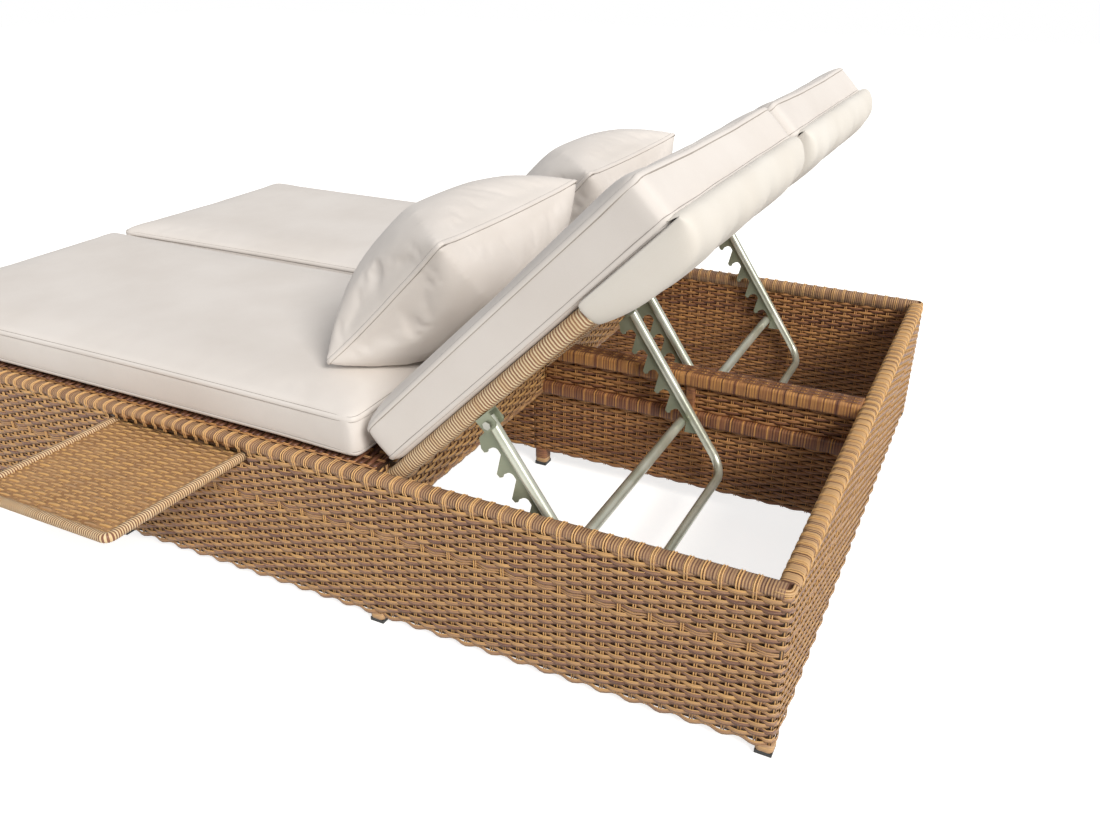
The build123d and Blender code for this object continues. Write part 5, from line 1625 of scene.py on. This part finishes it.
@dataclass
class Hardware:
    """The CAD nodes whose shapes stay, and the finish of each; the frame's tubes are brown."""

    nodes: dict[str, bpy.types.Object]

    def build(self) -> None:
        """Gives each metal and plastic node its finish."""
        plans = {
            "strut_tube": Finish.TUBE, "rest_bar": Finish.TUBE, "rack_inner": Finish.PLATE,
            "rack_outer": Finish.PLATE, "strut_brackets": Finish.PLATE, "strut_bolts": Finish.ZINC,
            "hinge_pins": Finish.ZINC, "foot_caps": Finish.CAP,
        }
        for name, node in self.nodes.items():
            stem = name.removesuffix("_right").removesuffix("_left")
            material = material_of(plans.get(stem, Finish.BROWN))
            for slot in node.material_slots:
                slot.material = material
            LOG.info("%s keeps its CAD shape, in %s", name, material.name)


@dataclass
class Studio:
    """The camera at the photograph's angle, a pale floor and soft lights."""

    eye: tuple[float, float, float] = (1.7601, 1.2051, 1.1195)
    azimuth: float = 115.977
    elevation: float = 27.340
    roll: float = 0.211
    lens: float = 30.93
    shift: tuple[float, float] = (-0.0121, 0.0140)
    clip_end: float = 100.0
    floor_half: float = 12.0
    floor_glow: float = 0.75
    sky: float = 0.45
    key: float = 2.8
    key_angle: float = 24.0
    key_aim: tuple[float, float, float] = (-0.42, -0.72, -0.62)

    def camera(self) -> None:
        """Sets the camera, turned by azimuth, elevation and roll."""
        az, el, roll = (math.radians(v) for v in (self.azimuth, self.elevation, self.roll))
        back = Vector((math.sin(az) * math.cos(el), -math.cos(az) * math.cos(el), math.sin(el)))
        right = Vector(UP).cross(back).normalized()
        up = back.cross(right)
        across = right * math.cos(roll) + up * math.sin(roll)
        above = -right * math.sin(roll) + up * math.cos(roll)
        data = bpy.data.cameras.new("camera")
        data.sensor_width, data.lens, data.clip_end = 36.0, self.lens, self.clip_end
        data.shift_x, data.shift_y = self.shift
        holder = bpy.data.objects.new("camera", data)
        turn = Matrix((across, above, back)).transposed().to_4x4()
        holder.matrix_world = Matrix.Translation(self.eye) @ turn
        bpy.context.scene.collection.objects.link(holder)
        bpy.context.scene.camera = holder

    def floor(self) -> None:
        """Lays the floor, which looks white to the camera and keeps the lounger's shadow."""
        material, tree = new_material("matt_studio_floor")
        path = add_node(tree, "LightPath").outputs
        seen = math_node(tree, "ADD", path["Is Camera Ray"], path["Is Glossy Ray"], clamp=True)
        seen = math_node(tree, "ADD", seen, path["Is Transmission Ray"], clamp=True)
        paint = add_node(tree, "BsdfDiffuse", {"Color": linear("#D8D6D2")})
        strength = math_node(tree, "MULTIPLY", seen, self.floor_glow)
        glow = add_node(tree, "Emission", {"Color": (1, 1, 1, 1)}, {"Strength": strength})
        both = add_node(tree, "AddShader", links={0: paint.outputs[0], 1: glow.outputs[0]})
        add_node(tree, "OutputMaterial", links={"Surface": both.outputs[0]})
        mesh = bpy.data.meshes.new("floor")
        r = self.floor_half
        mesh.from_pydata([(-r, -r, 0), (r, -r, 0), (r, r, 0), (-r, r, 0)], [], [(0, 1, 2, 3)])
        mesh.materials.append(material)
        floor = bpy.data.objects.new("floor", mesh)
        bpy.context.scene.collection.objects.link(floor)

    def lights(self) -> None:
        """Lights the world evenly, with one soft key lamp from the head end."""
        world = bpy.data.worlds.new("studio")
        world.use_nodes = True
        tree = world.node_tree
        tree.nodes.clear()
        path = add_node(tree, "LightPath").outputs
        seen = math_node(tree, "ADD", path["Is Camera Ray"], path["Is Transmission Ray"], clamp=True)
        sky = add_node(tree, "Background", {"Color": linear("#FBFCFF"), "Strength": self.sky})
        white = add_node(tree, "Background", {"Color": (1, 1, 1, 1), "Strength": 1.0})
        both = add_node(tree, "MixShader", links={0: seen, 1: sky.outputs[0], 2: white.outputs[0]})
        add_node(tree, "OutputWorld", links={"Surface": both.outputs[0]})
        bpy.context.scene.world = world
        lamp = bpy.data.lights.new("key", "SUN")
        lamp.energy, lamp.angle, lamp.color = self.key, math.radians(self.key_angle), linear("#FFFBF6")[:3]
        holder = bpy.data.objects.new("key", lamp)
        holder.rotation_euler = Vector(self.key_aim).normalized().to_track_quat("-Z", "Y").to_euler()
        bpy.context.scene.collection.objects.link(holder)

    def build(self) -> None:
        """Sets up the whole studio."""
        self.camera()
        self.floor()
        self.lights()
        bpy.context.scene.view_settings.view_transform = "Standard"


def main() -> None:
    """Builds the lounger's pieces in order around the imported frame."""
    logging.basicConfig(level=logging.INFO, format="%(name)s: %(message)s")
    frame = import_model()
    rng = np.random.default_rng(7)
    parts = (
        Hardware(frame["nodes"]), WallWeave(rng), Partition(rng), CrossWalls(rng), LegCollars(),
        SeatDeck(rng), Tray(rng), SeatCushions(), Backrests(rng), Studio(),
    )
    for part in parts:
        part.build()


if __name__ == "__main__":
    main()
